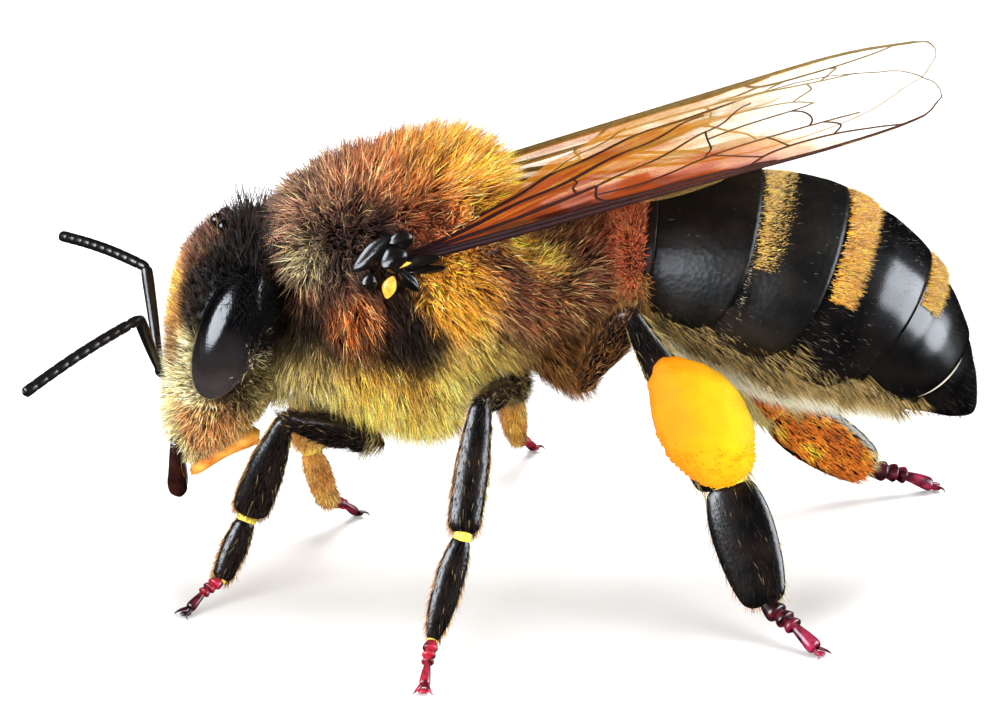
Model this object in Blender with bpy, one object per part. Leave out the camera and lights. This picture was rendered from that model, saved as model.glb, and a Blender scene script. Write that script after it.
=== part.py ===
"""A worker honey bee, standing with its wings folded back and pollen on its hind legs, at life size.

The bee faces -X, its left side is towards -Y, and it stands on z = 0. Its solids reach to the tips of
the coat that they carry. Sizes are in millimetres, and each piece becomes metres as it is finished.
"""

import math

import bmesh
import bpy
from mathutils import Matrix, Vector

MM = 0.001
SLIT = 0.02  # between a piece and its neighbour
SIDES = {"left": -1, "right": 1}
FORWARD = Vector((-1, 0, 0))
UP = Vector((0, 0, 1))

BODY_SIDES = 24  # corners round the head, thorax and abdomen
LIMB_SIDES = 10
BEAD_SIDES = 8

# Head: height, front, back and half width of each level, from the mouth to the crown.
HEAD_LEVELS = [
    (1.70, -5.02, -4.62, 0.42),
    (2.15, -5.20, -4.22, 0.92),
    (2.65, -5.25, -3.66, 1.32),
    (3.20, -5.24, -3.36, 1.70),
    (3.90, -5.20, -3.22, 1.90),
    (4.60, -5.14, -3.16, 1.90),
    (5.20, -5.00, -3.22, 1.66),
    (5.65, -4.80, -3.42, 1.15),
    (6.00, -4.42, -3.76, 0.45),
]
HEAD_BACK_FULLNESS = 2.7  # 2 is an ellipse, and more is squarer: the back of the head is flat
NECK_X = -3.34  # where the back of the head meets the thorax
EYE = {"centre": (-4.05, 1.47, 4.45), "half": (0.54, 0.58, 1.13), "tilt": 22, "lean": 14}

# Thorax and propodeum: x, top, bottom and half width of each ring. The widest line is at FLANK_Z.
FLANK_Z = 4.9
THORAX_RINGS = [
    (-3.32, 6.10, 3.16, 1.25),
    (-3.10, 6.48, 2.88, 1.50),
    (-2.65, 6.74, 2.76, 1.86),
    (-2.15, 6.92, 2.62, 2.06),
    (-1.50, 7.10, 2.42, 2.18),
    (-0.90, 7.18, 2.46, 2.20),
    (-0.35, 7.02, 2.80, 2.06),
    (0.05, 6.70, 3.20, 1.90),
    (0.36, 6.20, 3.50, 1.70),
]
PROPODEUM_RINGS = [
    (0.36, 5.92, 3.50, 1.64),
    (0.75, 5.70, 3.86, 1.50),
    (1.20, 5.62, 4.16, 1.26),
    (1.60, 5.55, 4.50, 0.92),
    (1.78, 5.42, 4.78, 0.50),
]
TEGULA = {"centre": (-1.52, 1.98, 5.72), "half": (0.42, 0.22, 0.30), "tilt": -20, "lean": 25}

# Abdomen: x and z of its middle, droop in degrees, half height and half width where each ring stands.
# Ring SEGMENT_STARTS[n] begins segment n + 1, and the last ring closes the tip.
ABDOMEN_RINGS = [
    (1.80, 5.14, 0, 0.42, 0.50),
    (1.95, 5.12, 1, 0.90, 1.02),
    (2.36, 5.10, 6, 1.15, 1.30),
    (3.00, 5.01, 10, 1.42, 1.58),
    (3.70, 4.89, 14, 1.62, 1.80),
    (4.38, 4.70, 18, 1.72, 1.93),
    (5.04, 4.45, 24, 1.68, 1.95),
    (5.60, 4.19, 31, 1.52, 1.86),
    (6.12, 3.85, 38, 1.28, 1.65),
    (6.52, 3.50, 44, 0.98, 1.38),
    (6.86, 3.14, 49, 0.68, 1.02),
    (7.12, 2.84, 52, 0.40, 0.62),
    (7.34, 2.58, 54, 0.10, 0.16),
]
SEGMENT_STARTS = [0, 2, 4, 6, 8, 10, 12]
PLATE_STEP = 0.04  # how far each plate's rear edge stands over the front of the next
MOST_INSET = 0.25  # the most that a ring gives up of its size for that step

# Antennae: the scape stands up from the face and the flagellum hangs forward from the elbow.
# Directions are yaw, from straight ahead towards the bee's own side, and pitch, upwards.
ANTENNA_BASE = (-5.16, 0.30, 3.58)
SCAPE_LENGTH = 1.26
FLAGELLUM_LENGTH = 2.10
FEELER_RADIUS = 0.25
ANTENNA_POSE = {"left": ((67, 48), (36, -20)), "right": ((64, 59), (52, -3))}

# Mouthparts: root, tip, and half width and half thickness at each.
MANDIBLE = {"root": (-4.96, 0.42, 2.05), "tip": (-4.98, 0.15, 1.34)}
MANDIBLE_SECTIONS = [(0, 0.24, 0.22), (0.5, 0.20, 0.20), (1, 0.10, 0.12)]
TONGUE = {"root": (-4.66, 0, 1.72), "tip": (-3.85, 0, 2.16)}
TONGUE_SECTIONS = [(0, 0.30, 0.20), (0.5, 0.34, 0.26), (1, 0.25, 0.25)]

# Legs: place of the hip, then for each part its length and its sections, each a share of the length,
# a half width and a half thickness. The tarsus is a row of beads instead.
LEG_PARTS = ("coxa", "femur", "tibia", "basitarsus", "tarsus")
LEGS = {
    "fore": {
        "hip": (-2.00, 0.46, 3.05),
        "lengths": (0.72, 1.74, 1.76, 1.05, 0.78),
        "coxa": [(0, 0.36, 0.36), (1, 0.30, 0.30)],
        "femur": [(0, 0.25, 0.25), (0.35, 0.30, 0.28), (1, 0.25, 0.25)],
        "tibia": [(0, 0.25, 0.25), (0.6, 0.31, 0.28), (1, 0.27, 0.25)],
        "basitarsus": [(0, 0.25, 0.25), (0.5, 0.26, 0.25), (1, 0.25, 0.25)],
    },
    "mid": {
        "hip": (0.02, 0.50, 3.42),
        "lengths": (0.70, 1.88, 2.04, 1.66, 0.95),
        "coxa": [(0, 0.42, 0.42), (1, 0.32, 0.32)],
        "femur": [(0, 0.25, 0.25), (0.4, 0.30, 0.28), (1, 0.25, 0.25)],
        "tibia": [(0, 0.25, 0.25), (0.45, 0.31, 0.27), (1, 0.30, 0.26)],
        "basitarsus": [(0, 0.25, 0.25), (0.35, 0.33, 0.26), (1, 0.25, 0.25)],
    },
    "hind": {
        "hip": (0.72, 0.52, 4.00),
        "lengths": (0.92, 1.98, 3.08, 1.94, 1.12),
        "coxa": [(0, 0.45, 0.42), (1, 0.34, 0.32)],
        "femur": [(0, 0.26, 0.25), (0.5, 0.32, 0.28), (1, 0.27, 0.25)],
        "tibia": [(0, 0.25, 0.25), (0.35, 0.34, 0.26), (0.8, 0.48, 0.27), (1, 0.47, 0.26)],
        "basitarsus": [(0, 0.40, 0.25), (0.35, 0.52, 0.28), (1, 0.40, 0.25)],
    },
}
# Yaw and pitch of the coxa, femur, tibia and basitarsus, then the tarsus's yaw: it drops to the floor.
LEG_POSES = {
    ("left", "fore"): ((100, -82), (37, 23), (-5, -70), (21, -67), 42),
    ("left", "mid"): ((110, 2), (74, 11), (70, -63), (53, -65), 83),
    ("left", "hind"): ((154, -46), (127, 52), (158, -59), (131, -62), 139),
    ("right", "fore"): ((95, -82), (46, 30), (-116, -81), (150, -73), 125),
    ("right", "mid"): ((110, 2), (92, 16), (76, -72), (103, -66), 107),
    ("right", "hind"): ((154, -46), (145, 24), (156, -53), (162, -38), 166),
}
DOME_ANGLES = (35, 65, 84)  # degrees up the round end of a limb, for its rings
TARSUS_BEADS = 4
BEAD_SHARES = (0.05, 0.75)  # where each bead's waist and its widest ring stand
BEAD_RADIUS = 0.26
BEAD_WAIST = 0.21
CLAW_SPREAD = 0.34
TOE_HEIGHT = 0.17  # the last bead's middle, so that its underside is cut to a small flat sole

# Pollen: an egg round the outer face of each hind tibia.
POLLEN = {"share": 0.66, "outward": 0.42, "rearward": 0.22, "half": (0.76, 0.62, 1.08)}

# Wings: flat plates whose leading edges run back along the body's sides. Roll lifts one trailing edge
# and lowers the other, so that the left wing lies over the right one where they cross.
WING_THICKNESS = 0.5
WING_ROOT = {"left": (-1.15, 1.95, 5.76), "right": (-1.15, 1.95, 5.69)}
WING_ROLL = {"left": 6.5, "right": -5.5}
WING_YAW = 3.2
WING_RISE = 17.2
FOREWING = {"length": 8.35, "root_width": 0.40, "width": 2.72, "widest": 0.70, "tip_inset": 0.62}
LEADING_STRAIGHT = 0.72  # the share of the forewing's length over which its leading edge is straight
# The hindwing is the strip that shows past the forewing's trailing edge, between two shares of the
# forewing's length. It is widest where its arch, in half turns, passes the top.
HINDWING = {"start": 0.23, "end": 0.60, "width": 0.92, "arch": (0.25, 0.91), "least": 0.2}

COLOURS = {
    "coat": "5A4630",
    "tawny": "B8862F",
    "shell": "15130F",
    "eye": "0D0B0C",
    "feeler": "1B1714",
    "mouth": "5A2C12",
    "tongue": "A8661E",
    "leg": "1C1613",
    "foot": "5E1F14",
    "pollen": "FF9800",
    "wing": "B07A35",
}
GLOSSY = ("shell", "eye", "leg")


def channel_to_linear(value):
    if value <= 0.04045:
        return value / 12.92
    return ((value + 0.055) / 1.055) ** 2.4


def material(colour):
    if colour in bpy.data.materials:
        return bpy.data.materials[colour]
    made = bpy.data.materials.new(colour)
    made.use_nodes = True
    digits = COLOURS[colour]
    rgb = [channel_to_linear(int(digits[at : at + 2], 16) / 255) for at in (0, 2, 4)]
    shader = made.node_tree.nodes["Principled BSDF"]
    shader.inputs["Base Color"].default_value = (*rgb, 1)
    shader.inputs["Roughness"].default_value = 0.25 if colour in GLOSSY else 0.75
    shader.inputs["Metallic"].default_value = 0
    return made


def finish(bm, name, colour):
    """The object of a finished bmesh, in metres, held by the empty that places the whole bee."""
    bmesh.ops.recalc_face_normals(bm, faces=bm.faces)
    bmesh.ops.scale(bm, vec=(MM, MM, MM), verts=bm.verts)
    mesh = bpy.data.meshes.new(name)
    bm.to_mesh(mesh)
    bm.free()
    mesh.shade_smooth()
    mesh.set_sharp_from_angle(angle=math.radians(40))
    mesh.materials.append(material(colour))
    piece = bpy.data.objects.new(name, mesh)
    bpy.context.scene.collection.objects.link(piece)
    piece.parent = bee
    return piece


def hide(cutter):
    cutter.hide_render = True
    cutter.display_type = "WIRE"
    return cutter


def cut(piece, *cutters):
    for cutter in cutters:
        boolean = piece.modifiers.new("cut by " + cutter.name, "BOOLEAN")
        boolean.operation = "DIFFERENCE"
        boolean.solver = "EXACT"
        boolean.object = cutter


def mirrored(point, side):
    return Vector((point[0], side * point[1], point[2]))


def heading(yaw, pitch, side):
    """The direction at this yaw from straight ahead towards the side, and this pitch above level."""
    level = math.cos(math.radians(pitch))
    out = side * math.sin(math.radians(yaw)) * level
    return Vector((-math.cos(math.radians(yaw)) * level, out, math.sin(math.radians(pitch))))


def facing(origin, along, up):
    """The matrix whose Z runs along, whose Y is nearest to up, and whose X is across."""
    z = along.normalized()
    x = up.cross(z).normalized()
    y = z.cross(x)
    turn = Matrix((x, y, z)).transposed()
    return Matrix.Translation(origin) @ turn.to_4x4()


def between(rows, share):
    """The row at this share of the table's length, on a smooth curve through its rows."""
    place = share * (len(rows) - 1)
    at = min(int(place), len(rows) - 2)
    t = place - at
    before, start, end, after = (
        rows[max(at - 1, 0)],
        rows[at],
        rows[at + 1],
        rows[min(at + 2, len(rows) - 1)],
    )
    blended = []
    for p, a, b, q in zip(before, start, end, after):
        slope_a = (b - p) / 2
        slope_b = (q - a) / 2
        bend = (2 * t**3 - 3 * t**2 + 1) * a + (3 * t**2 - 2 * t**3) * b
        blended.append(bend + (t**3 - 2 * t**2 + t) * slope_a + (t**3 - t**2) * slope_b)
    return blended


def loft(rings, sides, fullness=2):
    """A closed shape through rings, each a place, a half width, and its reach above and below it.

    Fullness squares the lower half of each ring: 2 leaves it an ellipse.
    """
    bm = bmesh.new()
    last = None
    for place, half_width, above, below in rings:
        made = bmesh.ops.create_circle(bm, segments=sides, radius=1)
        for vertex in made["verts"]:
            across, up, _ = vertex.co
            if up < 0:
                swell = (abs(across) ** fullness + abs(up) ** fullness) ** (-1 / fullness)
                across, up = across * swell, up * swell
            vertex.co = (across * half_width, up * (above if up > 0 else below), 0)
        bmesh.ops.transform(bm, matrix=place, verts=made["verts"])
        loop = list({edge for vertex in made["verts"] for edge in vertex.link_edges})
        if last:
            bmesh.ops.bridge_loops(bm, edges=last + loop)
        last = loop
    bmesh.ops.holes_fill(bm, edges=bm.edges)
    return bm


def slice_off(bm, point, normal):
    """Removes what lies beyond the plane, on the side its normal points to, and closes the cut."""
    every = bm.verts[:] + bm.edges[:] + bm.faces[:]
    bmesh.ops.bisect_plane(bm, geom=every, plane_co=point, plane_no=normal, clear_outer=True)
    bmesh.ops.holes_fill(bm, edges=bm.edges)


def ball(name, colour, place, half, grow=0.0, rows=9, columns=14):
    bm = bmesh.new()
    bmesh.ops.create_uvsphere(bm, u_segments=columns, v_segments=rows, radius=1)
    bmesh.ops.scale(bm, vec=[size + grow for size in half], verts=bm.verts)
    bmesh.ops.transform(bm, matrix=place, verts=bm.verts)
    return finish(bm, name, colour)


# ---- head, eyes and mouth


def head_shape(grow=0.0):
    rings = []
    steps = 12
    for step in range(steps + 1):
        z, front, back, half_width = between(HEAD_LEVELS, step / steps)
        z += grow * (2 * step / steps - 1)
        place = facing(Vector(((front + back) / 2, 0, z)), UP, FORWARD)
        half_depth = (back - front) / 2 + grow
        rings.append((place, half_width + grow, half_depth, half_depth))
    return loft(rings, BODY_SIDES, HEAD_BACK_FULLNESS)


def sunk_place(spec, side):
    """The place of a ball set into the body's side, tilted back at the top and leaning inwards."""
    tilt = Matrix.Rotation(math.radians(spec["tilt"]), 4, "Y")
    lean = Matrix.Rotation(math.radians(side * spec["lean"]), 4, "X")
    return Matrix.Translation(mirrored(spec["centre"], side)) @ lean @ tilt


def spike(name, colour, root, tip, sections):
    """A tapered mouthpart, lofted from its root inside the head."""
    return finish(limb_shape(root, tip, sections, FORWARD), name, colour)


def head_pieces():
    bm = head_shape()
    slice_off(bm, (NECK_X - SLIT / 2, 0, 0), (1, 0, 0))
    head = finish(bm, "head", "coat")
    around_head = hide(finish(head_shape(SLIT), "around_head", "coat"))
    for name, side in SIDES.items():
        place = sunk_place(EYE, side)
        ball(name + "_eye", "eye", place, EYE["half"])
        cut(head, hide(ball(name + "_eye_socket", "eye", place, EYE["half"], SLIT)))
        root = mirrored(MANDIBLE["root"], side)
        tip = mirrored(MANDIBLE["tip"], side)
        mandible = spike(name + "_mandible", "mouth", root, tip, MANDIBLE_SECTIONS)
        cut(mandible, around_head)
        antenna(name, side, around_head)
    tongue = spike("tongue", "tongue", Vector(TONGUE["root"]), Vector(TONGUE["tip"]), TONGUE_SECTIONS)
    cut(tongue, around_head)


def antenna(name, side, around_head):
    scape_way = heading(*ANTENNA_POSE[name][0], side)
    flagellum_way = heading(*ANTENNA_POSE[name][1], side)
    base = mirrored(ANTENNA_BASE, side)
    elbow = base + SCAPE_LENGTH * scape_way
    tip = elbow + FLAGELLUM_LENGTH * flagellum_way
    even = [(0, FEELER_RADIUS, FEELER_RADIUS), (1, FEELER_RADIUS, FEELER_RADIUS)]
    bend = (scape_way + flagellum_way).normalized()
    bm = limb_shape(base, elbow, even, UP)
    slice_off(bm, elbow - bend * SLIT / 2, bend)
    cut(finish(bm, name + "_scape", "feeler"), around_head)
    bm = limb_shape(elbow, tip, even, UP)
    slice_off(bm, elbow + bend * SLIT / 2, -bend)
    finish(bm, name + "_flagellum", "feeler")


# ---- thorax and abdomen


def trunk_shape(table, steps, grow=0.0):
    rings = []
    for step in range(steps + 1):
        x, top, bottom, half_width = between(table, step / steps)
        x += grow * (2 * step / steps - 1)
        place = facing(Vector((x, 0, FLANK_Z)), -FORWARD, UP)
        rings.append((place, half_width + grow, top - FLANK_Z + grow, FLANK_Z - bottom + grow))
    return loft(rings, BODY_SIDES)


def trunk_pieces():
    """The thorax and the propodeum behind it, and the clearances that the coxae are cut by."""
    thorax = finish(trunk_shape(THORAX_RINGS, 12), "thorax", "coat")
    bm = trunk_shape(PROPODEUM_RINGS, 6)
    slice_off(bm, (THORAX_RINGS[-1][0] + SLIT, 0, 0), (-1, 0, 0))
    propodeum = finish(bm, "propodeum", "tawny")
    clearances = [
        hide(finish(trunk_shape(THORAX_RINGS, 12, SLIT), "around_thorax", "coat")),
        hide(finish(trunk_shape(PROPODEUM_RINGS, 6, SLIT), "around_propodeum", "coat")),
    ]
    for name, side in SIDES.items():
        place = sunk_place(TEGULA, side)
        ball(name + "_tegula", "shell", place, TEGULA["half"], rows=5, columns=10)
        socket = ball(name + "_tegula_socket", "shell", place, TEGULA["half"], SLIT, 5, 10)
        cut(thorax, hide(socket))
    return thorax, propodeum, clearances


def abdomen_ring(place_in_table, inset):
    x, z, droop, half_height, half_width = between(ABDOMEN_RINGS, place_in_table / (len(ABDOMEN_RINGS) - 1))
    along = heading(180, -droop, 1)
    place = facing(Vector((x, 0, z)), along, UP)
    shrink = 1 - min(inset / half_height, MOST_INSET)
    return place, half_width * shrink, half_height * shrink, half_height * shrink


def abdomen_segment(number):
    """One segment, whose plates swell from a front edge tucked under the one before to a proud rear edge."""
    start = SEGMENT_STARTS[number]
    end = SEGMENT_STARTS[number + 1]
    steps = 3
    rings = []
    for step in range(steps + 1):
        share = step / steps
        inset = PLATE_STEP * (1 - share) if number else 0
        place, half_width, above, below = abdomen_ring(start + share * (end - start), inset)
        if step == 0 and number:
            place = place @ Matrix.Translation((0, 0, SLIT))
        rings.append((place, half_width, above, below))
    finish(loft(rings, BODY_SIDES), f"abdomen_{number + 1}", "shell" if number else "tawny")


# ---- legs


def limb_shape(start, end, sections, outward, grow=0.0, sides=LIMB_SIDES, rows=2):
    """A limb from start to end, with so many rows for each section, and a round end past each end."""
    along = (end - start).normalized()
    length = (end - start).length
    rings = []
    for sign, (share, half_width, half_thickness) in ((-1, sections[0]), (1, sections[-1])):
        dome = []
        for angle in DOME_ANGLES:
            shrink = math.cos(math.radians(angle))
            reach = sign * math.sin(math.radians(angle)) * (half_thickness + grow)
            dome.append((share * length + reach, (half_width + grow) * shrink, (half_thickness + grow) * shrink))
        rings += reversed(dome) if sign < 0 else dome
        if sign < 0:
            last = rows * (len(sections) - 1)
            for row in range(last + 1):
                part, wide, thick = between(sections, row / last)
                rings.append((part * length, wide + grow, thick + grow))
    placed = []
    for distance, wide, thick in rings:
        placed.append((facing(start + along * distance, along, outward), wide, thick, thick))
    return loft(placed, sides)


def bead_sections():
    sections = []
    for bead in range(TARSUS_BEADS):
        last = bead == TARSUS_BEADS - 1
        wide = CLAW_SPREAD if last else BEAD_RADIUS
        waist, widest = [(bead + share) / TARSUS_BEADS for share in BEAD_SHARES]
        sections.append((waist, BEAD_WAIST, BEAD_WAIST))
        sections.append((widest, wide, BEAD_RADIUS))
    return sections


def leg_joints(side_name, pair):
    """The seven points of a leg from hip to toe, the last on the floor."""
    side = SIDES[side_name]
    lengths = LEGS[pair]["lengths"]
    *ways, tarsus_yaw = LEG_POSES[side_name, pair]
    joints = [mirrored(LEGS[pair]["hip"], side)]
    for length, way in zip(lengths, ways):
        joints.append(joints[-1] + length * heading(*way, side))
    drop = math.degrees(math.asin((TOE_HEIGHT - joints[-1].z) / lengths[-1]))
    joints.append(joints[-1] + lengths[-1] * heading(tarsus_yaw, drop, side))
    return joints


def leg(side_name, pair, clearances):
    side = SIDES[side_name]
    joints = leg_joints(side_name, pair)
    outward = Vector((0, side, 0))
    ways = [(b - a).normalized() for a, b in zip(joints, joints[1:])]
    for number, part in enumerate(LEG_PARTS):
        start, end = joints[number], joints[number + 1]
        tarsus = part == "tarsus"
        if tarsus:
            bm = limb_shape(start, end, bead_sections(), UP, sides=BEAD_SIDES, rows=1)
        else:
            sections = LEGS[pair][part]
            bm = limb_shape(start, end, sections, outward)
        if number > 0:
            bend = (ways[number - 1] + ways[number]).normalized()
            slice_off(bm, start + bend * SLIT / 2, -bend)
        if tarsus:
            slice_off(bm, (0, 0, 0), -UP)
        else:
            bend = (ways[number] + ways[number + 1]).normalized()
            slice_off(bm, end - bend * SLIT / 2, bend)
        name = f"{side_name}_{pair}_{part}"
        piece = finish(bm, name, "foot" if tarsus else "leg")
        if part == "coxa":
            cut(piece, *clearances)
        if name.endswith("hind_tibia"):
            pollen_load(side_name, start, end, sections, outward)


def pollen_load(side_name, start, end, sections, outward):
    along = end - start
    place = facing(start + along * POLLEN["share"], along, outward)
    rearward = -1 if (place.to_3x3() @ Vector((1, 0, 0))).x < 0 else 1
    place = place @ Matrix.Translation((rearward * POLLEN["rearward"], POLLEN["outward"], 0))
    load = ball(side_name + "_pollen", "pollen", place, POLLEN["half"])
    bm = limb_shape(start, end, sections, outward, SLIT)
    cut(load, hide(finish(bm, f"around_{side_name}_hind_tibia", "leg")))


# ---- wings


def wing_frame(name):
    """The matrix of a wing: X from root to tip, Y from leading edge to trailing edge, and Z up."""
    side = SIDES[name]
    along = heading(180 - WING_YAW, WING_RISE, side)
    across = Vector((0, -side, 0))
    across = (across - across.dot(along) * along).normalized()
    over = along.cross(across) * -side
    roll = Matrix.Rotation(math.radians(WING_ROLL[name]) * -side, 3, along)
    turn = Matrix((along, roll @ across, roll @ over)).transposed()
    return Matrix.Translation(mirrored(WING_ROOT[name], side)) @ turn.to_4x4()


def leading_edge(share):
    """How far the forewing's leading edge has curved in from a straight line."""
    past = max(share - LEADING_STRAIGHT, 0) / (1 - LEADING_STRAIGHT)
    return FOREWING["tip_inset"] * (1 - math.sqrt(max(1 - past**2, 0)))


def trailing_edge(share):
    """How far the forewing's trailing edge lies from the straight line of the leading edge."""
    if share < FOREWING["widest"]:
        spread = math.sin(share / FOREWING["widest"] * math.pi / 2) ** 1.1
        return FOREWING["root_width"] + (FOREWING["width"] - FOREWING["root_width"]) * spread
    past = (share - FOREWING["widest"]) / (1 - FOREWING["widest"])
    inset = FOREWING["tip_inset"]
    return inset + (FOREWING["width"] - inset) * math.sqrt(max(1 - past**2, 0))


def plate(outline, frame, grow=0.0):
    """A flat plate of the outline's shape, centred on the wing's plane."""
    bm = bmesh.new()
    low = -WING_THICKNESS / 2 - grow
    face = bm.faces.new([bm.verts.new((x, y, low)) for x, y in outline])
    made = bmesh.ops.extrude_face_region(bm, geom=[face])
    top = [item for item in made["geom"] if isinstance(item, bmesh.types.BMVert)]
    bmesh.ops.translate(bm, vec=(0, 0, WING_THICKNESS + 2 * grow), verts=top)
    bmesh.ops.transform(bm, matrix=frame, verts=bm.verts)
    return bm


def wings(name, thorax, propodeum):
    frame = wing_frame(name)
    length = FOREWING["length"]
    steps = 14
    # Shares that crowd towards the tip, where the outline turns fastest.
    shares = [math.sin(step / steps * math.pi / 2) for step in range(steps + 1)]
    outline = [(share * length, leading_edge(share)) for share in shares]
    outline += [(share * length, trailing_edge(share)) for share in reversed(shares[:-1])]
    finish(plate(outline, frame), name + "_forewing", "wing")
    socket = [(x, y - SLIT if at < len(shares) else y + SLIT) for at, (x, y) in enumerate(outline)]
    socket[0] = (-SLIT, -SLIT)
    socket[-1] = (-SLIT, socket[-1][1])
    around = hide(finish(plate(socket, frame, SLIT), "around_" + name + "_forewing", "wing"))
    cut(thorax, around)
    cut(propodeum, around)
    inner, outer = [], []
    first, last = HINDWING["arch"]
    steps = 8
    for step in range(steps + 1):
        share = HINDWING["start"] + (HINDWING["end"] - HINDWING["start"]) * step / steps
        arch = first + (last - first) * step / steps
        strip = HINDWING["width"] * max(math.sin(math.pi * arch), HINDWING["least"])
        outer.append((share * length, trailing_edge(share) + SLIT))
        inner.append((share * length, trailing_edge(share) + SLIT + strip))
    finish(plate(outer + inner[::-1], frame), name + "_hindwing", "wing")


def stand_at_origin():
    """Moves the bee so that the origin is under the middle of its box, at the soles' level."""
    bpy.context.view_layer.update()
    graph = bpy.context.evaluated_depsgraph_get()
    corners = []
    for piece in bpy.context.scene.objects:
        if piece.type == "MESH" and not piece.hide_render:
            corners += [piece.matrix_world @ Vector(corner) for corner in piece.evaluated_get(graph).bound_box]
    for axis in (0, 1):
        values = [corner[axis] for corner in corners]
        bee.location[axis] -= (min(values) + max(values)) / 2


for old in list(bpy.data.objects):
    bpy.data.objects.remove(old)
bee = bpy.data.objects.new("bee", None)
bpy.context.scene.collection.objects.link(bee)

head_pieces()
thorax, propodeum, clearances = trunk_pieces()
for number in range(len(SEGMENT_STARTS) - 1):
    abdomen_segment(number)
for side_name, pair in LEG_POSES:
    leg(side_name, pair, clearances)
for name in SIDES:
    wings(name, thorax, propodeum)
stand_at_origin()
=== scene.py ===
import math

import bmesh
import bpy
import numpy as np
from mathutils import Matrix, Vector
from mathutils.bvhtree import BVHTree


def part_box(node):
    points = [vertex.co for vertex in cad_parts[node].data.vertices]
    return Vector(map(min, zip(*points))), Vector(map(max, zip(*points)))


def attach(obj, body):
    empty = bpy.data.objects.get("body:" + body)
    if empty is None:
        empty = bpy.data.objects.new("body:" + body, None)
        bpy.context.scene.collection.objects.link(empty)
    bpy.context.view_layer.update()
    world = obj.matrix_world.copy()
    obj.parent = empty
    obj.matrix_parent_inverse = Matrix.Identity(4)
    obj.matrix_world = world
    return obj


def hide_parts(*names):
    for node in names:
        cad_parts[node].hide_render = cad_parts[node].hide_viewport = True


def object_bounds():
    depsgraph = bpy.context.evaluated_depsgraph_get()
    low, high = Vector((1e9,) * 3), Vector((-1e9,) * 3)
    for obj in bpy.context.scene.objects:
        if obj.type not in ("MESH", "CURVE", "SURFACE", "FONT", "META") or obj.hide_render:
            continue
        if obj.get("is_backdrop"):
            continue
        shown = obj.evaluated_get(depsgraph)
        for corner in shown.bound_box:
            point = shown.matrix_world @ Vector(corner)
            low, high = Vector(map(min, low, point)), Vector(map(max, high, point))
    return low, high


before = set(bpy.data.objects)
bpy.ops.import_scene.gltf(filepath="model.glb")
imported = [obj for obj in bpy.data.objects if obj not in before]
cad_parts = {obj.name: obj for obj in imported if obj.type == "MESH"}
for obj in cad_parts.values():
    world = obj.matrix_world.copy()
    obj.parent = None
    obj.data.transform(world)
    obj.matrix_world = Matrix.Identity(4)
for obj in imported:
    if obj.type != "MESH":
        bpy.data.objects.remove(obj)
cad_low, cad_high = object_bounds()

# ---- Studio -------------------------------------------------------------------------------------
# A plain white table top in a white tent, with soft boxes left and right of the camera, above and low
# in front, as small animals are lit. Two more only give the bare shell its highlights. Table, lights
# and camera are not part of the bee.
MM = 0.001


def linear(code):
    """The linear colour, with its alpha, of an sRGB hex colour."""
    values = [int(code[at : at + 2], 16) / 255 for at in (0, 2, 4)]
    return [v / 12.92 if v <= 0.04045 else ((v + 0.055) / 1.055) ** 2.4 for v in values] + [1.0]


def finish_of(name, inputs):
    """A new material, its node tree and its shader, with the shader's own inputs set."""
    made = bpy.data.materials.new(name)
    made.use_nodes = True
    shader = made.node_tree.nodes["Principled BSDF"]
    for socket, value in inputs.items():
        shader.inputs[socket].default_value = value
    return made, made.node_tree, shader


table_top, _, _ = finish_of("matt_white_table_top", {"Base Color": linear("F4F4F4"), "Roughness": 0.55})
bm = bmesh.new()
bmesh.ops.create_grid(bm, x_segments=2, y_segments=2, size=0.6)
bmesh.ops.translate(bm, vec=(0, 0, -0.01 * MM), verts=bm.verts)
mesh = bpy.data.meshes.new("table_top")
bm.to_mesh(mesh)
bm.free()
mesh.materials.append(table_top)
table = bpy.data.objects.new("table_top", mesh)
table.visible_glossy = False
bpy.context.scene.collection.objects.link(table)
table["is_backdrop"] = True

world = bpy.data.worlds.new("white_tent")
world.use_nodes = True
world.node_tree.nodes["Background"].inputs["Color"].default_value = (1, 1, 1, 1)
world.node_tree.nodes["Background"].inputs["Strength"].default_value = 0.40
bpy.context.scene.world = world
world.cycles_visibility.glossy = False
bpy.context.scene.view_settings.view_transform = "Standard"

thorax_low, thorax_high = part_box("thorax")
MIDDLE = (thorax_low.y + thorax_high.y) / 2 / MM  # the bee's own middle plane
STAND = Vector((0, MIDDLE, 3.46)) * MM  # the place that the boxes and the camera face
BOX_DISTANCE = 160 * MM
# Each soft box: the way it lies from the bee, its width and height in metres, watts, and whether it
# lights the coat or only gives the shell its highlights.
SOFT_BOXES = {
    "left_box": ((-0.55, -0.80, 0.55), 0.10, 0.12, 0.20, True),
    "right_box": ((0.85, -0.60, 0.50), 0.10, 0.10, 0.16, True),
    "top_box": ((0.20, 0.35, 1.00), 0.14, 0.14, 0.42, True),
    "low_box": ((-0.30, -1.00, 0.06), 0.14, 0.08, 0.46, True),
    "left_sheen": ((-0.93, -0.35, 0.46), 0.16, 0.11, 0.78, False),
    "right_sheen": ((0.97, 0.00, 0.28), 0.16, 0.13, 0.66, False),
}
for name, (way, width, height, watts, lights_coat) in SOFT_BOXES.items():
    lamp = bpy.data.lights.new(name, "AREA")
    lamp.shape = "RECTANGLE" if lights_coat else "ELLIPSE"
    lamp.size = width
    lamp.size_y = height
    lamp.energy = watts
    lamp.color = (1, 1, 1) if lights_coat else (0.86, 0.92, 1.0)
    lamp_object = bpy.data.objects.new(name, lamp)
    lamp_object.location = STAND + Vector(way).normalized() * BOX_DISTANCE
    lamp_object.rotation_euler = (-Vector(way)).to_track_quat("-Z", "Y").to_euler()
    lamp_object.visible_camera = False
    lamp_object.visible_diffuse = lights_coat
    lamp_object.visible_glossy = not lights_coat
    bpy.context.scene.collection.objects.link(lamp_object)

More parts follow.
